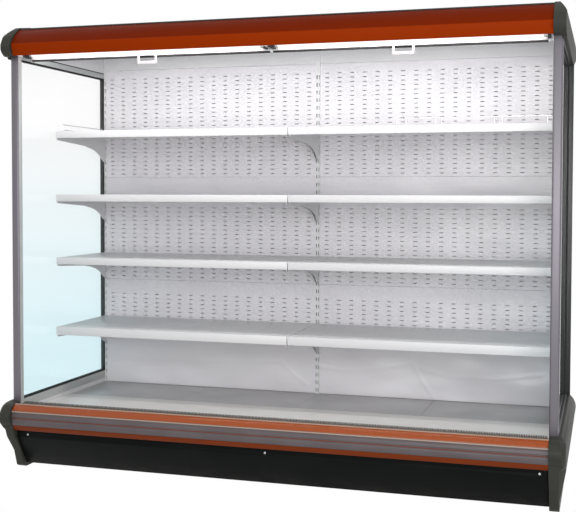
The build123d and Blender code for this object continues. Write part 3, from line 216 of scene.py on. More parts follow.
def ramp_value(tree, value, low, high, to_low=0.0, to_high=1.0):
    """Value mapped from low..high to to_low..to_high, and held there."""
    ramp = tree.nodes.new("ShaderNodeMapRange")
    for socket, number in zip(ramp.inputs[1:5], (low, high, to_low, to_high)):
        socket.default_value = number
    tree.links.new(value, ramp.inputs["Value"])
    return ramp.outputs["Result"]


def calc(tree, operation, first, second=0.0):
    """Result of a Math node on values or sockets."""
    made = add_node(tree, "ShaderNodeMath", operation=operation)
    feed(tree, made.inputs[0], first)
    feed(tree, made.inputs[1], second)
    return made.outputs["Value"]


def mix_colour(tree, factor, first, second):
    """First colour at a factor of 0, second at 1. In the Mix node 6, 7 and output 2 are the colours."""
    made = add_node(tree, "ShaderNodeMix", data_type="RGBA")
    for socket, value in ((0, factor), (6, first), (7, second)):
        feed(tree, made.inputs[socket], value)
    return made.outputs[2]


def white_where_seen(tree, usual, plain):
    """Plain shader where the camera, a gloss or glass looks, and the usual one elsewhere."""
    rays = tree.nodes.new("ShaderNodeLightPath")
    seen = calc(tree, "MAXIMUM", rays.outputs["Is Camera Ray"], rays.outputs["Is Glossy Ray"])
    seen = calc(tree, "MAXIMUM", seen, rays.outputs["Is Transmission Ray"])
    chosen = tree.nodes.new("ShaderNodeMixShader")
    for socket, source in zip(chosen.inputs, (seen, usual.outputs[0], plain.outputs[0])):
        tree.links.new(source, socket)
    return chosen.outputs[0]


def grain_group():
    """Fine relief: enamel orange peel, moulded grain or brushed lines, by its stretch."""
    tree, start, end = new_group(
        "Surface grain", {"Scale": "float", "Stretch": "vector"}, {"Height": "float"}
    )
    noise = stretched_noise(tree, start.outputs["Stretch"], start.outputs["Scale"], 3)
    tree.links.new(noise, end.inputs["Height"])
    return tree


def marks_group():
    """Cloudy handling marks and faint scratches, with the roughness that they bring."""
    tree, start, end = new_group(
        "Handling marks",
        {"Colour": "colour", "Mark": "colour", "Amount": "float", "Roughness": "float"},
        {"Colour": "colour", "Roughness": "float"},
    )
    cloud = ramp_value(tree, stretched_noise(tree, (1, 1, 1), 4.0, 6), 0.42, 0.72)
    scratch = ramp_value(tree, stretched_noise(tree, (9, 9, 90), 3.0, 3), 0.66, 0.74)
    worn = calc(tree, "MULTIPLY", calc(tree, "MAXIMUM", cloud, scratch), start.outputs["Amount"])
    colour = mix_colour(tree, worn, start.outputs["Colour"], start.outputs["Mark"])
    rough = calc(tree, "ADD", start.outputs["Roughness"], calc(tree, "MULTIPLY", worn, 0.35))
    tree.links.new(colour, end.inputs["Colour"])
    tree.links.new(rough, end.inputs["Roughness"])
    return tree


def dust_group():
    """Floor dust that thins out with height above the floor."""
    tree, start, end = new_group(
        "Floor dust", {"Colour": "colour", "Dust": "colour", "Reach": "float"}, {"Colour": "colour"}
    )
    share = calc(tree, "DIVIDE", object_axis(tree, "Z"), start.outputs["Reach"])
    low = ramp_value(tree, share, 0.0, 1.0, 1.0, 0.0)
    patch = ramp_value(tree, stretched_noise(tree, (1, 1, 2), 14.0, 5), 0.35, 0.8)
    amount = calc(tree, "MULTIPLY", low, patch)
    colour = mix_colour(tree, amount, start.outputs["Colour"], start.outputs["Dust"])
    tree.links.new(colour, end.inputs["Colour"])
    return tree


def spangle_group():
    """Crystal flakes of hot-dip zinc, as a tone and a roughness."""
    tree, start, end = new_group(
        "Zinc spangle", {"Colour": "colour", "Scale": "float"}, {"Colour": "colour", "Roughness": "float"}
    )
    place = tree.nodes.new("ShaderNodeTexCoord")
    cells = tree.nodes.new("ShaderNodeTexVoronoi")
    grey = tree.nodes.new("ShaderNodeRGBToBW")
    tree.links.new(place.outputs["Object"], cells.inputs["Vector"])
    tree.links.new(start.outputs["Scale"], cells.inputs["Scale"])
    tree.links.new(cells.outputs["Color"], grey.inputs["Color"])
    darker = ramp_value(tree, grey.outputs["Val"], 0.2, 0.8, 0.0, 0.45)
    colour = mix_colour(tree, darker, start.outputs["Colour"], (0.3, 0.31, 0.33, 1))
    tree.links.new(colour, end.inputs["Colour"])
    tree.links.new(ramp_value(tree, grey.outputs["Val"], 0.2, 0.8, 0.3, 0.55), end.inputs["Roughness"])
    return tree


def weave_group():
    """Plain weave of the blind cloth, as a height and a mask of the gaps between threads, which carry
    painted shade.
    """
    tree, start, end = new_group("Cloth weave", {"Threads": "float"}, {"Height": "float", "Gap shade": "float"})
    waves = []
    for axis in ("X", "Z"):
        turn = calc(tree, "MULTIPLY", object_axis(tree, axis), start.outputs["Threads"])
        waves.append(calc(tree, "SINE", calc(tree, "MULTIPLY", turn, math.tau)))
    height = calc(tree, "MULTIPLY", *waves)
    tree.links.new(height, end.inputs["Height"])
    tree.links.new(ramp_value(tree, height, -1.0, -0.4, 1.0, 0.0), end.inputs["Gap shade"])
    return tree


def wave_group():
    """Shallow waves of a thin sheet panel, deeper below a height."""
    tree, start, end = new_group("Sheet waves", {"Below": "float", "Deep": "float"}, {"Height": "float"})
    under = calc(tree, "LESS_THAN", object_axis(tree, "Z"), start.outputs["Below"])
    strength = calc(tree, "ADD", calc(tree, "MULTIPLY", under, start.outputs["Deep"]), 1.0)
    slow = stretched_noise(tree, (1.0, 1.0, 2.2), 2.6, 1)
    tree.links.new(calc(tree, "MULTIPLY", slow, strength), end.inputs["Height"])
    return tree


def placed_group(tree, build, **values):
    """Node of the shared group, which is built the first time it is used."""
    name = build.__name__
    made = tree.nodes.new("ShaderNodeGroup")
    made.node_tree = bpy.data.node_groups.get(name) or build()
    made.node_tree.name = name
    for socket, value in values.items():
        made.inputs[socket].default_value = value
    return made


# ---- Materials ----
def rgba(colour):
    """Colour with full alpha."""
    return (*colour, 1)


def new_material(name, roughness, metallic=0.0, coat=0.0, coat_roughness=0.08, specular=0.5):
    """Material with its Principled shader's plain values set."""
    made = bpy.data.materials.new(name + "_finish")
    made.use_nodes = True
    shader = made.node_tree.nodes["Principled BSDF"]
    shader.inputs["Roughness"].default_value = roughness
    shader.inputs["Metallic"].default_value = metallic
    shader.inputs["Coat Weight"].default_value = coat
    shader.inputs["Coat Roughness"].default_value = coat_roughness
    shader.inputs["Specular IOR Level"].default_value = specular
    return made, made.node_tree, shader


def add_bump(tree, shader, height, distance, strength=1.0):
    """Bump from a height, over any bump that the shader has already."""
    bump = add_node(tree, "ShaderNodeBump", Distance=distance, Strength=strength)
    tree.links.new(height, bump.inputs["Height"])
    before = shader.inputs["Normal"].links
    if before:
        tree.links.new(before[0].from_socket, bump.inputs["Normal"])
    tree.links.new(bump.outputs["Normal"], shader.inputs["Normal"])


def marked(tree, shader, colour, mark, amount, roughness):
    """Base colour and roughness with handling marks."""
    marks = placed_group(
        tree, marks_group, Colour=rgba(colour), Mark=rgba(mark), Amount=amount, Roughness=roughness
    )
    tree.links.new(marks.outputs["Colour"], shader.inputs["Base Color"])
    tree.links.new(marks.outputs["Roughness"], shader.inputs["Roughness"])
    return marks


def grained(tree, shader, scale, distance, stretch=(1, 1, 1)):
    """Fine relief in the surface."""
    grain = placed_group(tree, grain_group, Scale=scale, Stretch=stretch)
    add_bump(tree, shader, grain.outputs["Height"], distance)


def enamel(name, colour, mark, roughness, amount=0.12, peel=0.00006, scale=420, **shader_values):
    """Sprayed or powder coat with orange peel and handling marks."""
    made, tree, shader = new_material(name, roughness, **shader_values)
    marked(tree, shader, colour, mark, amount, roughness)
    grained(tree, shader, scale, peel)
    return made


def metal(name, colour, roughness, lines=(1, 1, 1), scale=500, depth=0.00003, mark=(0.2, 0.2, 0.2)):
    """Bare or anodised metal with lines or grain in it."""
    made, tree, shader = new_material(name, roughness, metallic=1.0)
    marked(tree, shader, colour, mark, 0.16, roughness)
    grained(tree, shader, scale, depth, lines)
    return made


def galvanised_material(name):
    """Hot-dip zinc with its flakes."""
    made, tree, shader = new_material(name, 0.4, metallic=1.0)
    flakes = placed_group(tree, spangle_group, Colour=(0.6, 0.61, 0.63, 1), Scale=70.0)
    tree.links.new(flakes.outputs["Colour"], shader.inputs["Base Color"])
    tree.links.new(flakes.outputs["Roughness"], shader.inputs["Roughness"])
    return made


def dusty_material(name, colour, roughness, dust, reach, scale, depth, specular):
    """Dark finish near the floor, with dust low down."""
    made, tree, shader = new_material(name, roughness, specular=specular)
    marks = marked(tree, shader, colour, tuple(4 * c + 0.01 for c in colour), 0.12, roughness)
    low = placed_group(tree, dust_group, Dust=rgba(dust), Reach=reach)
    tree.links.new(marks.outputs["Colour"], low.inputs["Colour"])
    tree.links.new(low.outputs["Colour"], shader.inputs["Base Color"])
    grained(tree, shader, scale, depth)
    return made


def rear_material(name):
    """Powder coat on thin sheets, which wave more where they are plain."""
    colours, sizes, _ = settings()
    made, tree, shader = new_material(name, 0.3)
    marked(tree, shader, colours.rear, (0.5, 0.5, 0.52), 0.14, 0.3)
    waves = placed_group(tree, wave_group, Below=sizes.plain_top, Deep=2.5)
    add_bump(tree, shader, waves.outputs["Height"], 0.012)
    grained(tree, shader, 420, 0.00005)
    return made


def fascia_material(name):
    """Paint whose leaning face below the crease is painted brighter, as painted light on that face."""
    colours, sizes, _ = settings()
    made, tree, shader = new_material(name, 0.42, specular=0.03)
    marks = marked(tree, shader, colours.fascia, (0.2, 0.02, 0.003), 0.25, 0.42)
    # Painted light: below the crease the colour switches to the brighter fascia foot colour.
    below = calc(tree, "LESS_THAN", object_axis(tree, "Z"), sizes.fascia_crease)
    colour = mix_colour(tree, below, marks.outputs["Colour"], rgba(colours.fascia_painted_light))
    tree.links.new(colour, shader.inputs["Base Color"])
    grained(tree, shader, 420, 0.00003)
    return made


def post_material(name):
    """Satin anodised frame whose sides that face the shelves are painted pale and less metallic, as painted
    light from the lamps on those faces.
    """
    colours, sizes, _ = settings()
    made = metal(name, colours.post, 0.42, (30, 30, 0.6), 40, 0.00003)
    tree = made.node_tree
    shader = tree.nodes["Principled BSDF"]
    # Painted light: inside the half width the faces take the pale rail colour and less metal.
    outside = calc(tree, "GREATER_THAN", calc(tree, "ABSOLUTE", object_axis(tree, "X")), sizes.painted_light_lining)
    anodised = shader.inputs["Base Color"].links[0].from_socket
    colour = mix_colour(tree, outside, rgba(colours.rail), anodised)
    tree.links.new(colour, shader.inputs["Base Color"])
    tree.links.new(calc(tree, "MULTIPLY", outside, 0.6), shader.inputs["Metallic"])
    return made


def glass_material(name):
    """Clear pane with its own cool tint at the foot, which fades to white higher up; the fade is painted
    light for the glare on the upper pane.
    """
    colours, _, _ = settings()
    made, tree, shader = new_material(name, 0.0)
    shader.inputs["Transmission Weight"].default_value = 1.0
    shader.inputs["IOR"].default_value = 1.2
    smear = ramp_value(tree, stretched_noise(tree, (1, 1, 0.5), 3.0, 6), 0.5, 0.9, 0.0, 0.05)
    tree.links.new(smear, shader.inputs["Roughness"])
    # Painted light: the tint fades to white between these heights, for the glare on the upper pane.
    height = ramp_value(tree, object_axis(tree, "Z"), 0.5, 1.7)
    colour = mix_colour(tree, height, rgba(colours.glass), (1, 1, 1, 1))
    tree.links.new(colour, shader.inputs["Base Color"])
    return made


def lamp_material(name):
    """Glowing tube, warmer and dimmer at both ends. The camera sees it at a strength of 1."""
    colours, _, stage = settings()
    made, tree, shader = new_material(name, 0.25)
    out = calc(tree, "ABSOLUTE", object_axis(tree, "X"))
    inner_end = ramp_value(tree, out, 0.04, 0.12, 1.0, 0.0)
    outer_end = ramp_value(tree, out, 1.13, 1.21)
    warm_end = calc(tree, "MAXIMUM", inner_end, outer_end)
    glow = mix_colour(tree, warm_end, rgba(colours.lamp), (0.75, 0.6, 0.55, 1))
    tree.links.new(glow, shader.inputs["Emission Color"])
    shader.inputs["Base Color"].default_value = (0.85, 0.85, 0.85, 1)
    seen = tree.nodes.new("ShaderNodeLightPath").outputs["Is Camera Ray"]
    tree.links.new(ramp_value(tree, seen, 0.0, 1.0, stage.glow, 1.0), shader.inputs["Emission Strength"])
    return made


def cloth_material(name):
    """Coated cloth with its weave, darkened in the gaps between threads as painted shade."""
    colours, sizes, _ = settings()
    made, tree, shader = new_material(name, 0.75)
    shader.inputs["Sheen Weight"].default_value = 0.15
    weave = placed_group(tree, weave_group, Threads=sizes.weave)
    # Painted shade: the gaps between threads are darkened.
    tone = calc(tree, "MULTIPLY", weave.outputs["Gap shade"], 0.35)
    colour = mix_colour(tree, tone, rgba(colours.cloth), (0.3, 0.31, 0.33, 1))
    tree.links.new(colour, shader.inputs["Base Color"])
    add_bump(tree, shader, weave.outputs["Height"], 0.0001)
    return made


def bumper_material(name):
    """Vinyl with faint lines along the rail."""
    colours, _, _ = settings()
    made, tree, shader = new_material(name, 0.36, coat=0.08, coat_roughness=0.2, specular=0.3)
    marks = marked(tree, shader, colours.bumper, (0.25, 0.23, 0.24), 0.2, 0.36)
    lines = placed_group(tree, grain_group, Scale=60.0, Stretch=(0.05, 6, 6))
    tone = ramp_value(tree, lines.outputs["Height"], 0.3, 0.7, 0.0, 0.25)
    darker = mix_colour(tree, tone, marks.outputs["Colour"], (0.075, 0.058, 0.06, 1))
    tree.links.new(darker, shader.inputs["Base Color"])
    add_bump(tree, shader, lines.outputs["Height"], 0.00015)
    return made


def build_material(name):
    """The material of a slot. Slots are the record's material slots and a few shades of them."""
    colours, _, _ = settings()
    own = {
        "blind_fabric": cloth_material,
        "bumper_grey": bumper_material,
        "clear_glass": glass_material,
        "galvanised_steel": galvanised_material,
        "lamp_glass": lamp_material,
        "orange_fascia": fascia_material,
        "post_anodised": post_material,
        "rear_enamel": rear_material,
    }
    dusty = {
        "black_enamel": {
            "colour": colours.kick,
            "roughness": 0.42,
            "dust": (0.03, 0.028, 0.026),
            "reach": 0.08,
            "scale": 500,
            "depth": 0.00008,
            "specular": 0.05,
        },
        "cap_grey": {
            "colour": colours.cap,
            "roughness": 0.5,
            "dust": (0.07, 0.066, 0.062),
            "reach": 0.06,
            "scale": 900,
            "depth": 0.00018,
            "specular": 0.15,
        },
    }
    metals = {
        "coil_aluminium": {"colour": (0.74, 0.75, 0.77), "roughness": 0.4, "lines": (4, 4, 60), "scale": 30},
        "pipe_copper": {
            "colour": (0.78, 0.36, 0.22),
            "roughness": 0.32,
            "scale": 80,
            "depth": 0.00004,
            "mark": (0.2, 0.09, 0.05),
        },
        "wire_chrome": {"colour": (0.7, 0.7, 0.72), "roughness": 0.14, "scale": 200, "depth": 0.00001},
        "zinc_fastener": {"colour": (0.58, 0.58, 0.58), "roughness": 0.3, "scale": 300, "depth": 0.00002},
    }
    if name in own:
        return own[name](name)
    if name in dusty:
        return dusty_material(name, **dusty[name])
    if name in metals:
        return metal(name, **metals[name])
    return coated_material(name, colours)


def coated_material(name, colours):
    """A painted, moulded or rubber finish."""
    fine, coarse, gloss = {"peel": 0.00003}, {"peel": 0.0001, "scale": 700}, {"coat": 0.3, "specular": 0.2}
    # Colour, colour of its marks, roughness, share of the marks, and other values that enamel takes.
    coats = {
        "black_profile": ((0.012, 0.012, 0.013), (0.06, 0.06, 0.06), 0.36, 0.15, {}),
        "blind_white": ((0.8, 0.8, 0.81), (0.6, 0.6, 0.6), 0.32, 0.12, {}),
        "comb_plastic": ((0.7, 0.71, 0.71), (0.5, 0.5, 0.48), 0.5, 0.2, {}),
        # The cream finish is a painted highlight for the light lines along the trim and the rim.
        "cream_painted_highlight": (colours.bead, (0.3, 0.24, 0.2), 0.45, 0.2, fine),
        "deck_grey": (colours.deck, (0.34, 0.34, 0.34), 0.3, 0.3, {"peel": 0.00004, "scale": 200}),
        "drain_plastic": ((0.3, 0.31, 0.32), (0.2, 0.2, 0.2), 0.5, 0.3, {}),
        "fan_black": ((0.018, 0.018, 0.02), (0.09, 0.09, 0.09), 0.5, 0.3, coarse),
        "grille_grey": (colours.grille, (0.5, 0.5, 0.5), 0.38, 0.2, {}),
        "handle_white": ((0.86, 0.86, 0.87), (0.6, 0.6, 0.58), 0.22, 0.12, {**fine, "coat": 0.3}),
        "holder_grey": ((0.035, 0.035, 0.038), (0.12, 0.12, 0.12), 0.5, 0.2, coarse),
        "insulated_panel": (colours.white, (0.6, 0.6, 0.61), 0.36, 0.12, {}),
        "low_trim": (colours.low_trim, (0.1, 0.02, 0.01), 0.4, 0.2, {**fine, "specular": 0.1}),
        "motor_grey": ((0.09, 0.095, 0.1), (0.2, 0.2, 0.2), 0.45, 0.3, {}),
        "orange_paint": (colours.orange, (0.35, 0.05, 0.01), 0.26, 0.2, {**fine, **gloss}),
        "seal_rubber": ((0.012, 0.012, 0.012), (0.05, 0.05, 0.05), 0.7, 0.3, {**coarse, "scale": 900}),
        "white_enamel": (colours.white, (0.6, 0.6, 0.61), 0.36, 0.12, {}),
    }
    colour, mark, roughness, amount, rest = coats[name]
    return enamel(name, colour, mark, roughness, amount, **rest)


def material(name):
    """The material of a slot, which is built the first time it is used."""
    return bpy.data.materials.get(name + "_finish") or build_material(name)


SLOT_OF = {row["node"]: row["material_slot"] for row in frame["record"]["subparts"]}
BODIES = frame["record"]["behaviour"]["bodies"]
BODY_OF = {node: body for body, nodes in BODIES.items() for node in nodes}


def paint_nodes(*nodes, finish=None):
    """CAD nodes that keep their own shape get their slot's material, or another finish."""
    for node in nodes:
        piece = frame["nodes"][node]
        piece.data.materials.clear()
        piece.data.materials.append(material(finish or SLOT_OF[node]))


# ---- Mesh helpers ----
def finish_piece(bm, name, body, slot, replaced=(), finish=None, smooth=math.radians(35)):
    """Turns a bmesh into a piece on a body, with its finish, slot and the nodes it stands for."""
    mesh = bpy.data.meshes.new(name)
    bm.to_mesh(mesh)
    bm.free()
    mesh.polygons.foreach_set("use_smooth", [True] * len(mesh.polygons))
    mesh.set_sharp_from_angle(angle=smooth)
    mesh.materials.append(material(finish or slot))
    piece = bpy.data.objects.new(name, mesh)
    bpy.context.scene.collection.objects.link(piece)
    if body:
        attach(piece, body)
    if replaced:
        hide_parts(*replaced)
    return piece


def round_edges(bm, width, segments=2, angle=math.radians(25)):
    """Bevels every edge that turns by more than the angle."""
    sharp = [e for e in bm.edges if e.is_manifold and e.calc_face_angle(0) > angle]
    bmesh.ops.bevel(
        bm,
        geom=sharp,
        offset=width,
        offset_type="OFFSET",
        segments=segments,
        profile=0.5,
        affect="EDGES",
        clamp_overlap=True,
        material=-1,
    )


def soften(node, width, segments=2, finish=None):
    """Stands for a CAD node with the same shape, its edges rounded and its curves smooth."""
    bm = bmesh.new()
    bm.from_mesh(frame["nodes"][node].data)
    bmesh.ops.remove_doubles(bm, verts=bm.verts, dist=0.02 * MM)
    bmesh.ops.dissolve_limit(bm, angle_limit=math.radians(0.5), verts=bm.verts, edges=bm.edges)
    round_edges(bm, width, segments)
    return finish_piece(bm, node + "_shown", BODY_OF[node], SLOT_OF[node], [node], finish)


def add_block(bm, low, high):
    """Box between two corners, as new verts."""
    made = bmesh.ops.create_cube(bm, size=1)["verts"]
    low, high = Vector(low), Vector(high)
    bmesh.ops.scale(bm, vec=high - low, verts=made)
    bmesh.ops.translate(bm, vec=(low + high) / 2, verts=made)
    return made


def add_prism(bm, outline, low, high):
    """Bar across the fridge between two widths, with a closed outline of (depth, height)."""
    ends = [[bm.verts.new((x, y, z)) for y, z in outline] for x in (low, high)]
    bm.faces.new(ends[0])
    bm.faces.new(reversed(ends[1]))
    for i in range(len(outline)):
        bm.faces.new((ends[0][i], ends[0][i - 1], ends[1][i - 1], ends[1][i]))
    bmesh.ops.recalc_face_normals(bm, faces=bm.faces)


def add_rod(bm, start, end, radius, segments=24):
    """Closed round rod between two points."""
    start, end = Vector(start), Vector(end)
    run = end - start
    turn = run.to_track_quat("Z", "Y").to_matrix().to_4x4()
    return bmesh.ops.create_cone(
        bm,
        cap_ends=True,
        segments=segments,
        radius1=radius,
        radius2=radius,
        depth=run.length,
        matrix=Matrix.Translation((start + end) / 2) @ turn,
    )["verts"]


def centre_of(node):
    """Middle of a CAD node's box."""
    low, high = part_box(node)
    return (low + high) / 2


# ---- Operators: one for each group of pieces ----
class FRIDGE_OT_base(bpy.types.Operator):
    """Base frame, feet, tub, kick plate and its screws"""

    bl_idname = "fridge.base"
    bl_label = "Base"

    def execute(self, context):
        _, sizes, _ = settings()
        paint_nodes("base_frame", "base_tub", "levelling_feet")
        soften("kick_plate", sizes.edge)
        low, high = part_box("kick_screws")
        radius = (high.z - low.z) / 2
        screws = bmesh.new()
        for x in (low.x + radius, (low.x + high.x) / 2, high.x - radius):
            self.add_screw(screws, Vector((x, low.y, (low.z + high.z) / 2)), radius, high.y - low.y)
        bmesh.ops.recalc_face_normals(screws, faces=screws.faces)
        finish_piece(screws, "kick_screws_shown", "root", "zinc_fastener", ["kick_screws"])
        return {"FINISHED"}

    def add_screw(self, bm, face, radius, length):
        """Pan head with a cross recess in its face, on a plain shank."""
        height = radius / 2
        turns = [math.tau * i / 24 for i in range(24)]
        around = [Vector((math.cos(turn), 0, math.sin(turn))) * radius for turn in turns]
        rings = []
        # From the head's flat face back to the shank, as shares of the radius and of the height.
        for share, back in ((0.72, 0), (0.92, 0.12), (1.0, 0.45), (1.0, 1.0), (0.48, 1.0)):
            inward = face + Vector((0, back * height, 0))
            rings.append([bm.verts.new(inward + share * p) for p in around])
        tip = [bm.verts.new(v.co + Vector((0, length - height, 0))) for v in rings[-1]]
        rings.append(tip)
        for near, far in zip(rings, rings[1:]):
            for i in range(len(turns)):
                bm.faces.new((near[i - 1], near[i], far[i], far[i - 1]))
        bm.faces.new(tip)
        arm, half = 0.5 * radius, 0.13 * radius
        corner = [Vector((arm, 0, -half)), Vector((arm, 0, half)), Vector((half, 0, half))]
        cross = [Matrix.Rotation(math.pi / 2 * -q, 3, "Y") @ p for q in range(4) for p in corner]
        mouth = [bm.verts.new(face + p) for p in cross]
        floor = [bm.verts.new(face + 0.5 * p + Vector((0, height * 0.7, 0))) for p in cross]
        for i in range(len(cross)):
            bm.faces.new((mouth[i - 1], mouth[i], floor[i], floor[i - 1]))
        bm.faces.new(floor)
        loops = []
        for ring in (rings[0], mouth):
            loops += [bm.edges.get((ring[i - 1], ring[i])) for i in range(len(ring))]
        bmesh.ops.triangle_fill(bm, use_beauty=True, edges=loops)


class FRIDGE_OT_bumper(bpy.types.Operator):
    """Bumper rail with its painted trims"""

    bl_idname = "fridge.bumper"
    bl_label = "Bumper"

    def execute(self, context):
        rail, beads = bmesh.new(), bmesh.new()
        self.add_section(rail, self.rail_outline())
        finish_piece(rail, "bumper_rail_shown", "root", "bumper_grey", ["bumper_rail"])
        soften("bumper_top_trim", 2.0 * MM, 3)
        soften("bumper_lower_trim", 0.5 * MM, finish="low_trim")
        # Painted highlight: thin cream strips behind and below the top trim.
        for section in self.highlight_bead_outlines():
            self.add_section(beads, section)
        finish_piece(beads, "bumper_highlight_beads", "root", "bumper_grey", finish="cream_painted_highlight")
        return {"FINISHED"}

    def add_section(self, bm, section):
        """Bar as long as the rail, with a section in millimetres from the tub's rim."""
        low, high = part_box("bumper_rail")
        add_prism(bm, [(high.y + y * MM, high.z + z * MM) for y, z in section], low.x, high.x)

    def highlight_bead_outlines(self):
        """Sections of the thin cream strips behind and below the top trim, which are a painted highlight."""
        back = [(-30, 0.3), (-30, 8.6), (-33, 9.3), (-37, 8.8), (-42, 6.4), (-42, 5.2), (-34, 8.1)]
        below = [(-70.5, -20.6), (-72.2, -21.2), (-72.6, -23.5), (-71.8, -26), (-70, -27), (-69, -26)]
        return back, below

    def rail_outline(self):
        """Section of the vinyl rail: lip, bead, hollow band, groove, round band, and its inner side."""
        shown = [(0, 0), (-30, 0), (-54, -12), (-67.5, -19)]
        shown += [(-71.6, -20.4), (-72, -22.5), (-71, -24.5), (-69.2, -26)]
        shown += [(-68.6, -32), (-68.8, -38), (-69.8, -42), (-71.4, -44.5), (-72, -47), (-71.4, -49.6)]
        shown += [(-70, -51), (-70, -61)]
        shown += [(-71.3, -62.2), (-72, -66), (-71.8, -74), (-70.4, -82), (-68, -88)]
        shown += [(-62, -92), (-50, -116), (0, -116)]
        hidden = [(0, -113), (-48.2, -113), (-59.6, -90), (-65.2, -86), (-67, -60), (-66, -25)]
        hidden += [(-53, -15), (-30, -3), (0, -3)]
        return shown + hidden


class FRIDGE_OT_caps(bpy.types.Operator):
    """Moulded end caps of the base and the canopy"""

    bl_idname = "fridge.caps"
    bl_label = "End caps"

    def execute(self, context):
        _, sizes, _ = settings()
        for side in SIDES:
            soften(f"base_cap_{side}", sizes.cap_edge, 3)
            soften(f"canopy_cap_{side}", sizes.cap_edge, 3)
        return {"FINISHED"}


class FRIDGE_OT_glazed_ends(bpy.types.Operator):
    """End posts and rails, double panes, spacers, seals and rear corner profiles"""

    bl_idname = "fridge.glazed_ends"
    bl_label = "Glazed ends"

    def execute(self, context):
        _, sizes, _ = settings()
        soften("end_frames", sizes.edge)
        soften("rear_corner_profiles", sizes.edge)
        paint_nodes("glass_seals")
        low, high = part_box("end_glass")
        unit = 20 * MM
        panes, spacers = bmesh.new(), bmesh.new()
        for side in SIDES.values():
            for inner in (high.x - unit, high.x - sizes.pane):
                span = sorted((side * inner, side * (inner + sizes.pane)))
                add_block(panes, (span[0], low.y, low.z), (span[1], high.y, high.z))
            gap = sorted((side * (high.x - unit + sizes.pane), side * (high.x - sizes.pane)))
            edge = sizes.spacer
            for y, z in (
                ((low.y, high.y), (low.z, low.z + edge)),
                ((low.y, high.y), (high.z - edge, high.z)),
                ((low.y, low.y + edge), (low.z + edge, high.z - edge)),
                ((high.y - edge, high.y), (low.z + edge, high.z - edge)),
            ):
                add_block(spacers, (gap[0], y[0], z[0]), (gap[1], y[1], z[1]))
        round_edges(panes, 0.3 * MM, 1)
        finish_piece(panes, "end_glass_panes", "root", "clear_glass", ["end_glass"])
        finish_piece(spacers, "end_glass_spacers", "root", "black_profile")
        return {"FINISHED"}


class FRIDGE_OT_canopy(bpy.types.Operator):
    """Fascia, top cover, roof, liners, brackets and air duct of the canopy"""

    bl_idname = "fridge.canopy"
    bl_label = "Canopy"

    def execute(self, context):
        _, sizes, _ = settings()
        soften("fascia_panel", sizes.edge, finish="orange_fascia")
        soften("canopy_top_cover", sizes.edge)
        paint_nodes("roof_panel", "head_liners", "canopy_brackets", "ceiling_duct_panel", "air_honeycomb")
        return {"FINISHED"}


class FRIDGE_OT_lamps(bpy.types.Operator):
    """Lamp tubes with metal end caps and pins, in their holders"""

    bl_idname = "fridge.lamps"
    bl_label = "Lamps"

    def execute(self, context):
        _, sizes, _ = settings()
        soften("lamp_holders", 0.8 * MM)
        middle = centre_of("lamp_tubes")
        radius = 13 * MM
        near, far = 25 * MM, 1225 * MM
        pin_length, pin_radius, pin_offset = 6 * MM, 1.2 * MM, 6 * MM
        tubes, caps = bmesh.new(), bmesh.new()
        for side in SIDES.values():
            start = Vector((side * near, middle.y, middle.z))
            end = Vector((side * far, middle.y, middle.z))
            inward = Vector((side * sizes.lamp_cap, 0, 0))
            add_rod(tubes, start + inward, end - inward, radius - 0.3 * MM, 32)
            for tip, run in ((start, inward), (end, -inward)):
                add_rod(caps, tip, tip + run, radius, 32)
                for offset in (-pin_offset, pin_offset):
                    pin = tip + Vector((0, offset, 0))
                    add_rod(caps, pin, pin - run * (pin_length / sizes.lamp_cap), pin_radius, 12)
        round_edges(caps, 0.8 * MM, 2)
        finish_piece(tubes, "lamp_tubes_shown", "root", "lamp_glass", ["lamp_tubes"])
        finish_piece(caps, "lamp_end_caps", "root", "zinc_fastener")
        return {"FINISHED"}


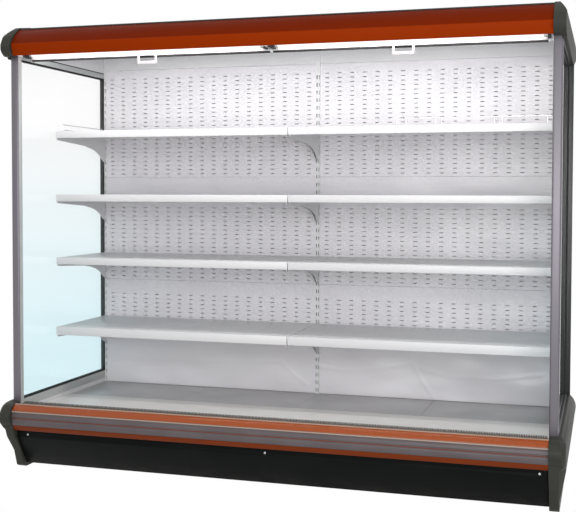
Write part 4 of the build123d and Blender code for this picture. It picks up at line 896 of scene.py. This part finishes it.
class FRIDGE_OT_blinds(bpy.types.Operator):
    """Night blinds: cassettes, rollers, cloths, pull bars with seals, and handles"""

    bl_idname = "fridge.blinds"
    bl_label = "Night blinds"

    def execute(self, context):
        _, sizes, _ = settings()
        soften("blind_cassettes", sizes.edge)
        for name in SIDES:
            self.make_roller(name)
            self.make_bar(name)
            self.make_cloth(name, sizes.cloth_rows)
            soften(f"blind_handle_{name}", 2.2 * MM, 3)
        return {"FINISHED"}

    def make_roller(self, name):
        """Wound cloth on its tube, with a pin at each end."""
        node = f"blind_roller_{name}"
        low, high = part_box(node)
        middle = (low + high) / 2
        wound, pins = bmesh.new(), bmesh.new()
        pin_length, pin_radius = 12 * MM, 5 * MM
        start = Vector((low.x + pin_length, middle.y, middle.z))
        end = Vector((high.x - pin_length, middle.y, middle.z))
        add_rod(wound, start, end, high.z - middle.z, 48)
        round_edges(wound, 1 * MM, 2)
        add_rod(pins, (low.x, middle.y, middle.z), start, pin_radius)
        add_rod(pins, end, (high.x, middle.y, middle.z), pin_radius)
        finish_piece(wound, f"blind_wound_{name}", BODY_OF[node], "blind_fabric", [node])
        finish_piece(pins, f"blind_pins_{name}", BODY_OF[node], "zinc_fastener")

    def make_bar(self, name):
        """White pull bar over a black rubber seal."""
        node = f"blind_bar_{name}"
        low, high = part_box(node)
        bar, seal = bmesh.new(), bmesh.new()
        bar_height, seal_top, inset = 14 * MM, 13.9 * MM, 3 * MM
        add_block(bar, (low.x, low.y, high.z - bar_height), high)
        round_edges(bar, 3 * MM, 3)
        seal_high = (high.x, high.y - inset, high.z - seal_top)
        add_block(seal, (low.x, low.y + inset, low.z), seal_high)
        round_edges(seal, 2 * MM, 3)
        finish_piece(bar, f"blind_bar_shown_{name}", BODY_OF[node], "blind_white", [node])
        finish_piece(seal, f"blind_seal_{name}", BODY_OF[node], "seal_rubber")

    def make_cloth(self, name, rows):
        """Cloth from the roller down to the pull bar. On the fridge the cloth lengthens as the bar comes
        down; this sheet keeps its length and rides on no body.
        """
        node = f"blind_cloth_{name}"
        low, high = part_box(node)
        middle_y = (low.y + high.y) / 2
        bm = bmesh.new()
        made = bmesh.ops.create_grid(bm, x_segments=24, y_segments=rows, size=0.5)["verts"]
        bmesh.ops.rotate(bm, verts=made, matrix=Matrix.Rotation(math.pi / 2, 3, "X"))
        bmesh.ops.scale(bm, verts=made, vec=(high.x - low.x, 1, high.z - low.z))
        bmesh.ops.translate(bm, verts=made, vec=((low.x + high.x) / 2, middle_y, (low.z + high.z) / 2))
        cloth = finish_piece(bm, f"blind_cloth_shown_{name}", None, "blind_fabric", [node])
        solid = cloth.modifiers.new("Thickness", "SOLIDIFY")
        solid.thickness = 0.4 * MM
        solid.offset = 0
        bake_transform(cloth)


class FRIDGE_OT_shelves(bpy.types.Operator):
    """Shelf trays, price rails, brackets and wire guards"""

    bl_idname = "fridge.shelves"
    bl_label = "Shelves"

    def execute(self, context):
        _, sizes, _ = settings()
        for number in SHELF_LEVELS:
            soften(f"shelf_tray_{number}", sizes.edge)
        soften("price_rails", sizes.edge)
        paint_nodes("shelf_brackets", "wire_guards")
        return {"FINISHED"}


class FRIDGE_OT_rear_wall(bpy.types.Operator):
    """Insulated back, slotted uprights and pierced rear sheets"""

    bl_idname = "fridge.rear_wall"
    bl_label = "Rear wall"

    def execute(self, context):
        _, sizes, _ = settings()
        soften("back_panel_insulated", 1 * MM)
        paint_nodes("rear_panels_upper", "rear_panels_middle", "rear_panels_lower")
        paint_nodes("slotted_uprights", finish="white_enamel")
        self.make_slot_shade()
        low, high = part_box("rear_panels_lower")
        middle_gap, edge_gap, stand_out = 16 * MM, 3 * MM, 0.3 * MM
        heights = (low.z + 1 * MM, sizes.plain_top - edge_gap)
        for name, side in SIDES.items():
            widths = sorted((side * middle_gap, side * (high.x - edge_gap)))
            self.make_creased_sheet(name, widths, heights, low.y - stand_out, sizes)
        return {"FINISHED"}

    def make_slot_shade(self):
        """Black strips behind the uprights' slots: painted shade that makes the slots look dark."""
        low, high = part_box("slotted_uprights")
        bottom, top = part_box("return_grille")[1].z, high.z - 100 * MM
        front, rear = high.y - 0.8 * MM, high.y - 0.1 * MM
        half, inset = 10 * MM, 12 * MM
        slot_shade_strips = bmesh.new()
        for x in (low.x + inset, 0.0, high.x - inset):
            add_block(slot_shade_strips, (x - half, front, bottom), (x + half, rear, top))
        # Painted shade: the strips are black where the slots only hold shade.
        finish_piece(slot_shade_strips, "upright_slot_shade", "root", "seal_rubber")

    def make_creased_sheet(self, name, widths, heights, face, sizes):
        """Front of a plain sheet over the deck, with its shallow creases."""
        depth = 0.6 * MM
        bm = bmesh.new()
        made = bmesh.ops.create_grid(bm, x_segments=160, y_segments=44, size=0.5)["verts"]
        for vert in made:
            x = widths[0] + (vert.co.x + 0.5) * (widths[1] - widths[0])
            z = heights[0] + (vert.co.y + 0.5) * (heights[1] - heights[0])
            away = self.crease_distance(Vector((x, z))) / sizes.crease_spread
            vert.co = (x, face - sizes.crease_rise * math.exp(-(away**2)), z)
        grown = bmesh.ops.extrude_face_region(bm, geom=bm.faces[:], use_keep_orig=True)["geom"]
        for part in grown:
            if isinstance(part, bmesh.types.BMVert):
                part.co.y = face + depth
        bmesh.ops.recalc_face_normals(bm, faces=bm.faces)
        finish_piece(bm, f"creased_sheet_{name}", "root", "rear_enamel")

    def crease_distance(self, place):
        """Distance from a (width, height) to the nearest crease."""
        near = math.inf
        for run in CREASES:
            for start, end in zip(run, run[1:]):
                share = intersect_point_line(place, start, end)[1]
                foot = Vector(start).lerp(Vector(end), min(1, max(0, share)))
                near = min(near, (place - foot).length)
        return near


class FRIDGE_OT_deck(bpy.types.Operator):
    """Lift-out deck trays, return grille and their supports"""

    bl_idname = "fridge.deck"
    bl_label = "Deck"

    def execute(self, context):
        _, sizes, _ = settings()
        for number in DECK_TRAYS:
            soften(f"deck_tray_{number}", sizes.edge)
        paint_nodes("return_grille", "deck_supports")
        self.make_rim(sizes.slot_shade_pitch)
        return {"FINISHED"}

    def make_rim(self, pitch):
        """Cream strip between bumper and grille, a painted highlight, with a comb of lying and standing dark
        strips, painted shade for the rim's air slots.
        """
        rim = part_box("bumper_rail")[1]
        low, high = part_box("return_grille")
        strip, slot_shades = bmesh.new(), bmesh.new()
        strip_height, front_gap, rear_gap = 0.4 * MM, 1 * MM, 5 * MM
        # Painted highlight: the cream strip on the tub's rim.
        strip_high = (high.x, low.y - rear_gap, rim.z + strip_height)
        add_block(strip, (low.x, rim.y + front_gap, rim.z), strip_high)
        # Painted shade: dark strips standing for the rim's air slots.
        near, far = rim.y + 6 * MM, low.y - 6 * MM
        foot, lying, standing = rim.z + 0.3 * MM, rim.z + 0.9 * MM, rim.z + 8 * MM
        shade_width, standing_depth = pitch * 0.5, 2 * MM
        for i in range(int((high.x - low.x) / pitch)):
            x = low.x + (i + 0.25) * pitch
            add_block(slot_shades, (x, near, foot), (x + shade_width, far, lying))
            add_block(slot_shades, (x, far - standing_depth, foot), (x + shade_width, far, standing))
        finish_piece(strip, "rim_painted_highlight", "root", "bumper_grey", finish="cream_painted_highlight")
        finish_piece(slot_shades, "rim_slot_shade", "root", "seal_rubber")


class FRIDGE_OT_cooling(bpy.types.Operator):
    """Fans with curved blades, motors, coil, pipes and drain"""

    bl_idname = "fridge.cooling"
    bl_label = "Cooling"

    def execute(self, context):
        paint_nodes("fan_plate", "fan_motors", "evaporator_coil", "refrigerant_pipes", "drain_pipe")
        for number in FANS:
            self.make_rotor(number)
        return {"FINISHED"}

    def make_rotor(self, number):
        """Hub with five twisted blades, built upright and leant onto the fan's axis."""
        node = f"fan_rotor_{number}"
        bm = bmesh.new()
        hub_radius, hub_half, blades = 22 * MM, 12 * MM, 5
        add_rod(bm, (0, 0, -hub_half), (0, 0, hub_half), hub_radius, 40)
        round_edges(bm, 3 * MM, 3, math.radians(60))
        for blade in range(blades):
            verts = self.add_blade(bm)
            turn = Matrix.Rotation(math.tau * blade / blades, 3, "Z")
            bmesh.ops.rotate(bm, verts=verts, matrix=turn)
        bmesh.ops.recalc_face_normals(bm, faces=bm.faces)
        lean = Matrix.Rotation(math.radians(45), 4, "X")
        bmesh.ops.transform(bm, matrix=Matrix.Translation(centre_of(node)) @ lean, verts=bm.verts)
        finish_piece(bm, f"fan_blades_{number}", BODY_OF[node], "fan_black", [node])

    def add_blade(self, bm):
        """One blade along X: a grid that is curved, twisted, narrowed at its tip and thickened."""
        root, span, half_rise = 20 * MM, 54 * MM, 11 * MM
        made = bmesh.ops.create_grid(bm, x_segments=10, y_segments=8, size=0.5)["verts"]
        for vert in made:
            along, over = vert.co.x + 0.5, vert.co.y
            reach = root + along * span
            tip_narrowing = 0.35 * max(0, along - 0.8) / 0.2 * abs(over) * 2
            width = over * (26 + 14 * along) * MM * (1 - tip_narrowing)
            pitch = math.radians(38 - 16 * along)
            camber = 3 * MM * (1 - (2 * over) ** 2)
            sweep = width * math.cos(pitch) / reach
            rise = max(-half_rise, min(half_rise, width * math.sin(pitch) + camber))
            vert.co = (reach * math.cos(sweep), reach * math.sin(sweep), rise)
        faces = list({f for v in made for f in v.link_faces})
        thick = bmesh.ops.solidify(bm, geom=faces, thickness=1.4 * MM)["geom"]
        return made + [v for v in thick if isinstance(v, bmesh.types.BMVert) and v not in made]


class FRIDGE_OT_stage(bpy.types.Operator):
    """Camera, lamps, pale floor and backdrop"""

    bl_idname = "fridge.stage"
    bl_label = "Stage"

    def execute(self, context):
        _, _, stage = settings()
        context.scene.view_settings.view_transform = "Standard"
        self.make_camera(context, stage)
        self.make_world(context, stage)
        self.make_floor(context)
        beside_camera, cabinet_middle = (1.6, -5.4, 1.7), (0, 0, 1.0)
        self.make_light("Front light", beside_camera, cabinet_middle, (4.5, 2.5), stage.key)
        for side in SIDES.values():
            bay_middle = side * 0.625
            behind_bar, low_rear = (bay_middle, -0.315, 2.0), (bay_middle, 0.5, 0.8)
            bay = self.make_light("Bay light", behind_bar, low_rear, (1.15, 0.03), stage.inside)
            bay.visible_camera = False
        return {"FINISHED"}

    def make_camera(self, context, stage):
        """Camera worked out from the straight edges that the photo shows."""
        data = bpy.data.cameras.new("Camera")
        data.sensor_width = 36
        data.lens = stage.lens
        data.shift_x, data.shift_y = stage.shift
        camera = bpy.data.objects.new("Camera", data)
        context.scene.collection.objects.link(camera)
        yaw, pitch = stage.yaw, stage.pitch
        forward = Vector(
            (-math.sin(yaw) * math.cos(pitch), math.cos(yaw) * math.cos(pitch), -math.sin(pitch))
        )
        right = Vector((math.cos(yaw), math.sin(yaw), 0))
        up = right.cross(forward)
        turned = right * math.cos(stage.roll) + up * math.sin(stage.roll)
        raised = turned.cross(forward)
        axes = Matrix((turned, raised, -forward)).transposed().to_4x4()
        camera.matrix_world = Matrix.Translation(stage.place) @ axes
        context.scene.camera = camera

    def make_world(self, context, stage):
        """Even ambient light, and plain white where something looks past the fridge."""
        world = bpy.data.worlds.new("Studio")
        context.scene.world = world
        world.use_nodes = True
        tree = world.node_tree
        ambient = tree.nodes["Background"]
        ambient.inputs["Color"].default_value = (1, 1, 1, 1)
        ambient.inputs["Strength"].default_value = stage.ambient
        plain = add_node(tree, "ShaderNodeBackground", Color=(1, 1, 1, 1), Strength=1.0)
        chosen = white_where_seen(tree, ambient, plain)
        tree.links.new(chosen, tree.nodes["World Output"].inputs["Surface"])

    def make_floor(self, context):
        """Grey floor that the camera sees as white."""
        bm = bmesh.new()
        bmesh.ops.create_grid(bm, x_segments=1, y_segments=1, size=30)
        mesh = bpy.data.meshes.new("floor")
        bm.to_mesh(mesh)
        bm.free()
        made = bpy.data.materials.new("floor_white")
        made.use_nodes = True
        tree = made.node_tree
        shader = tree.nodes["Principled BSDF"]
        shader.inputs["Base Color"].default_value = (0.5, 0.5, 0.5, 1)
        shader.inputs["Roughness"].default_value = 0.9
        shader.inputs["Specular IOR Level"].default_value = 0.0
        plain = add_node(tree, "ShaderNodeEmission", Color=(1, 1, 1, 1), Strength=1.0)
        chosen = white_where_seen(tree, shader, plain)
        tree.links.new(chosen, tree.nodes["Material Output"].inputs["Surface"])
        mesh.materials.append(made)
        floor = bpy.data.objects.new("floor", mesh)
        context.scene.collection.objects.link(floor)

    def make_light(self, name, place, aim, size, power):
        """Area light at a place, turned towards another."""
        data = bpy.data.lights.new(name, "AREA")
        data.shape = "RECTANGLE"
        data.size, data.size_y = size
        data.energy = power
        light = bpy.data.objects.new(name, data)
        bpy.context.scene.collection.objects.link(light)
        light.location = place
        light.rotation_euler = (Vector(aim) - Vector(place)).to_track_quat("-Z", "Y").to_euler()
        return light


class FRIDGE_PT_panel(bpy.types.Panel):
    """Sidebar panel that lists the fridge's settings and operators"""

    bl_idname = "FRIDGE_PT_panel"
    bl_label = "Display fridge"
    bl_space_type = "VIEW_3D"
    bl_region_type = "UI"
    bl_category = "Fridge"

    def draw(self, context):
        for group in settings():
            for name in group.bl_rna.properties.keys():
                if name not in ("rna_type", "name"):
                    self.layout.prop(group, name)
        for operator in OPERATORS:
            self.layout.operator(operator.bl_idname)


OPERATORS = (
    FRIDGE_OT_stage,
    FRIDGE_OT_base,
    FRIDGE_OT_bumper,
    FRIDGE_OT_caps,
    FRIDGE_OT_glazed_ends,
    FRIDGE_OT_canopy,
    FRIDGE_OT_lamps,
    FRIDGE_OT_blinds,
    FRIDGE_OT_shelves,
    FRIDGE_OT_rear_wall,
    FRIDGE_OT_deck,
    FRIDGE_OT_cooling,
)
GROUPS = {"fridge_colours": FridgeColours, "fridge_sizes": FridgeSizes, "fridge_stage": FridgeStage}


def register():
    for cls in (*GROUPS.values(), *OPERATORS, FRIDGE_PT_panel):
        bpy.utils.register_class(cls)
    for name, group in GROUPS.items():
        setattr(bpy.types.Scene, name, PointerProperty(type=group))


def unregister():
    for name in GROUPS:
        delattr(bpy.types.Scene, name)
    for cls in (FRIDGE_PT_panel, *reversed(OPERATORS), *GROUPS.values()):
        bpy.utils.unregister_class(cls)


def main():
    register()
    for operator in OPERATORS:
        group, name = operator.bl_idname.split(".")
        getattr(getattr(bpy.ops, group), name)()
    bpy.context.view_layer.update()


if __name__ == "__main__":
    main()
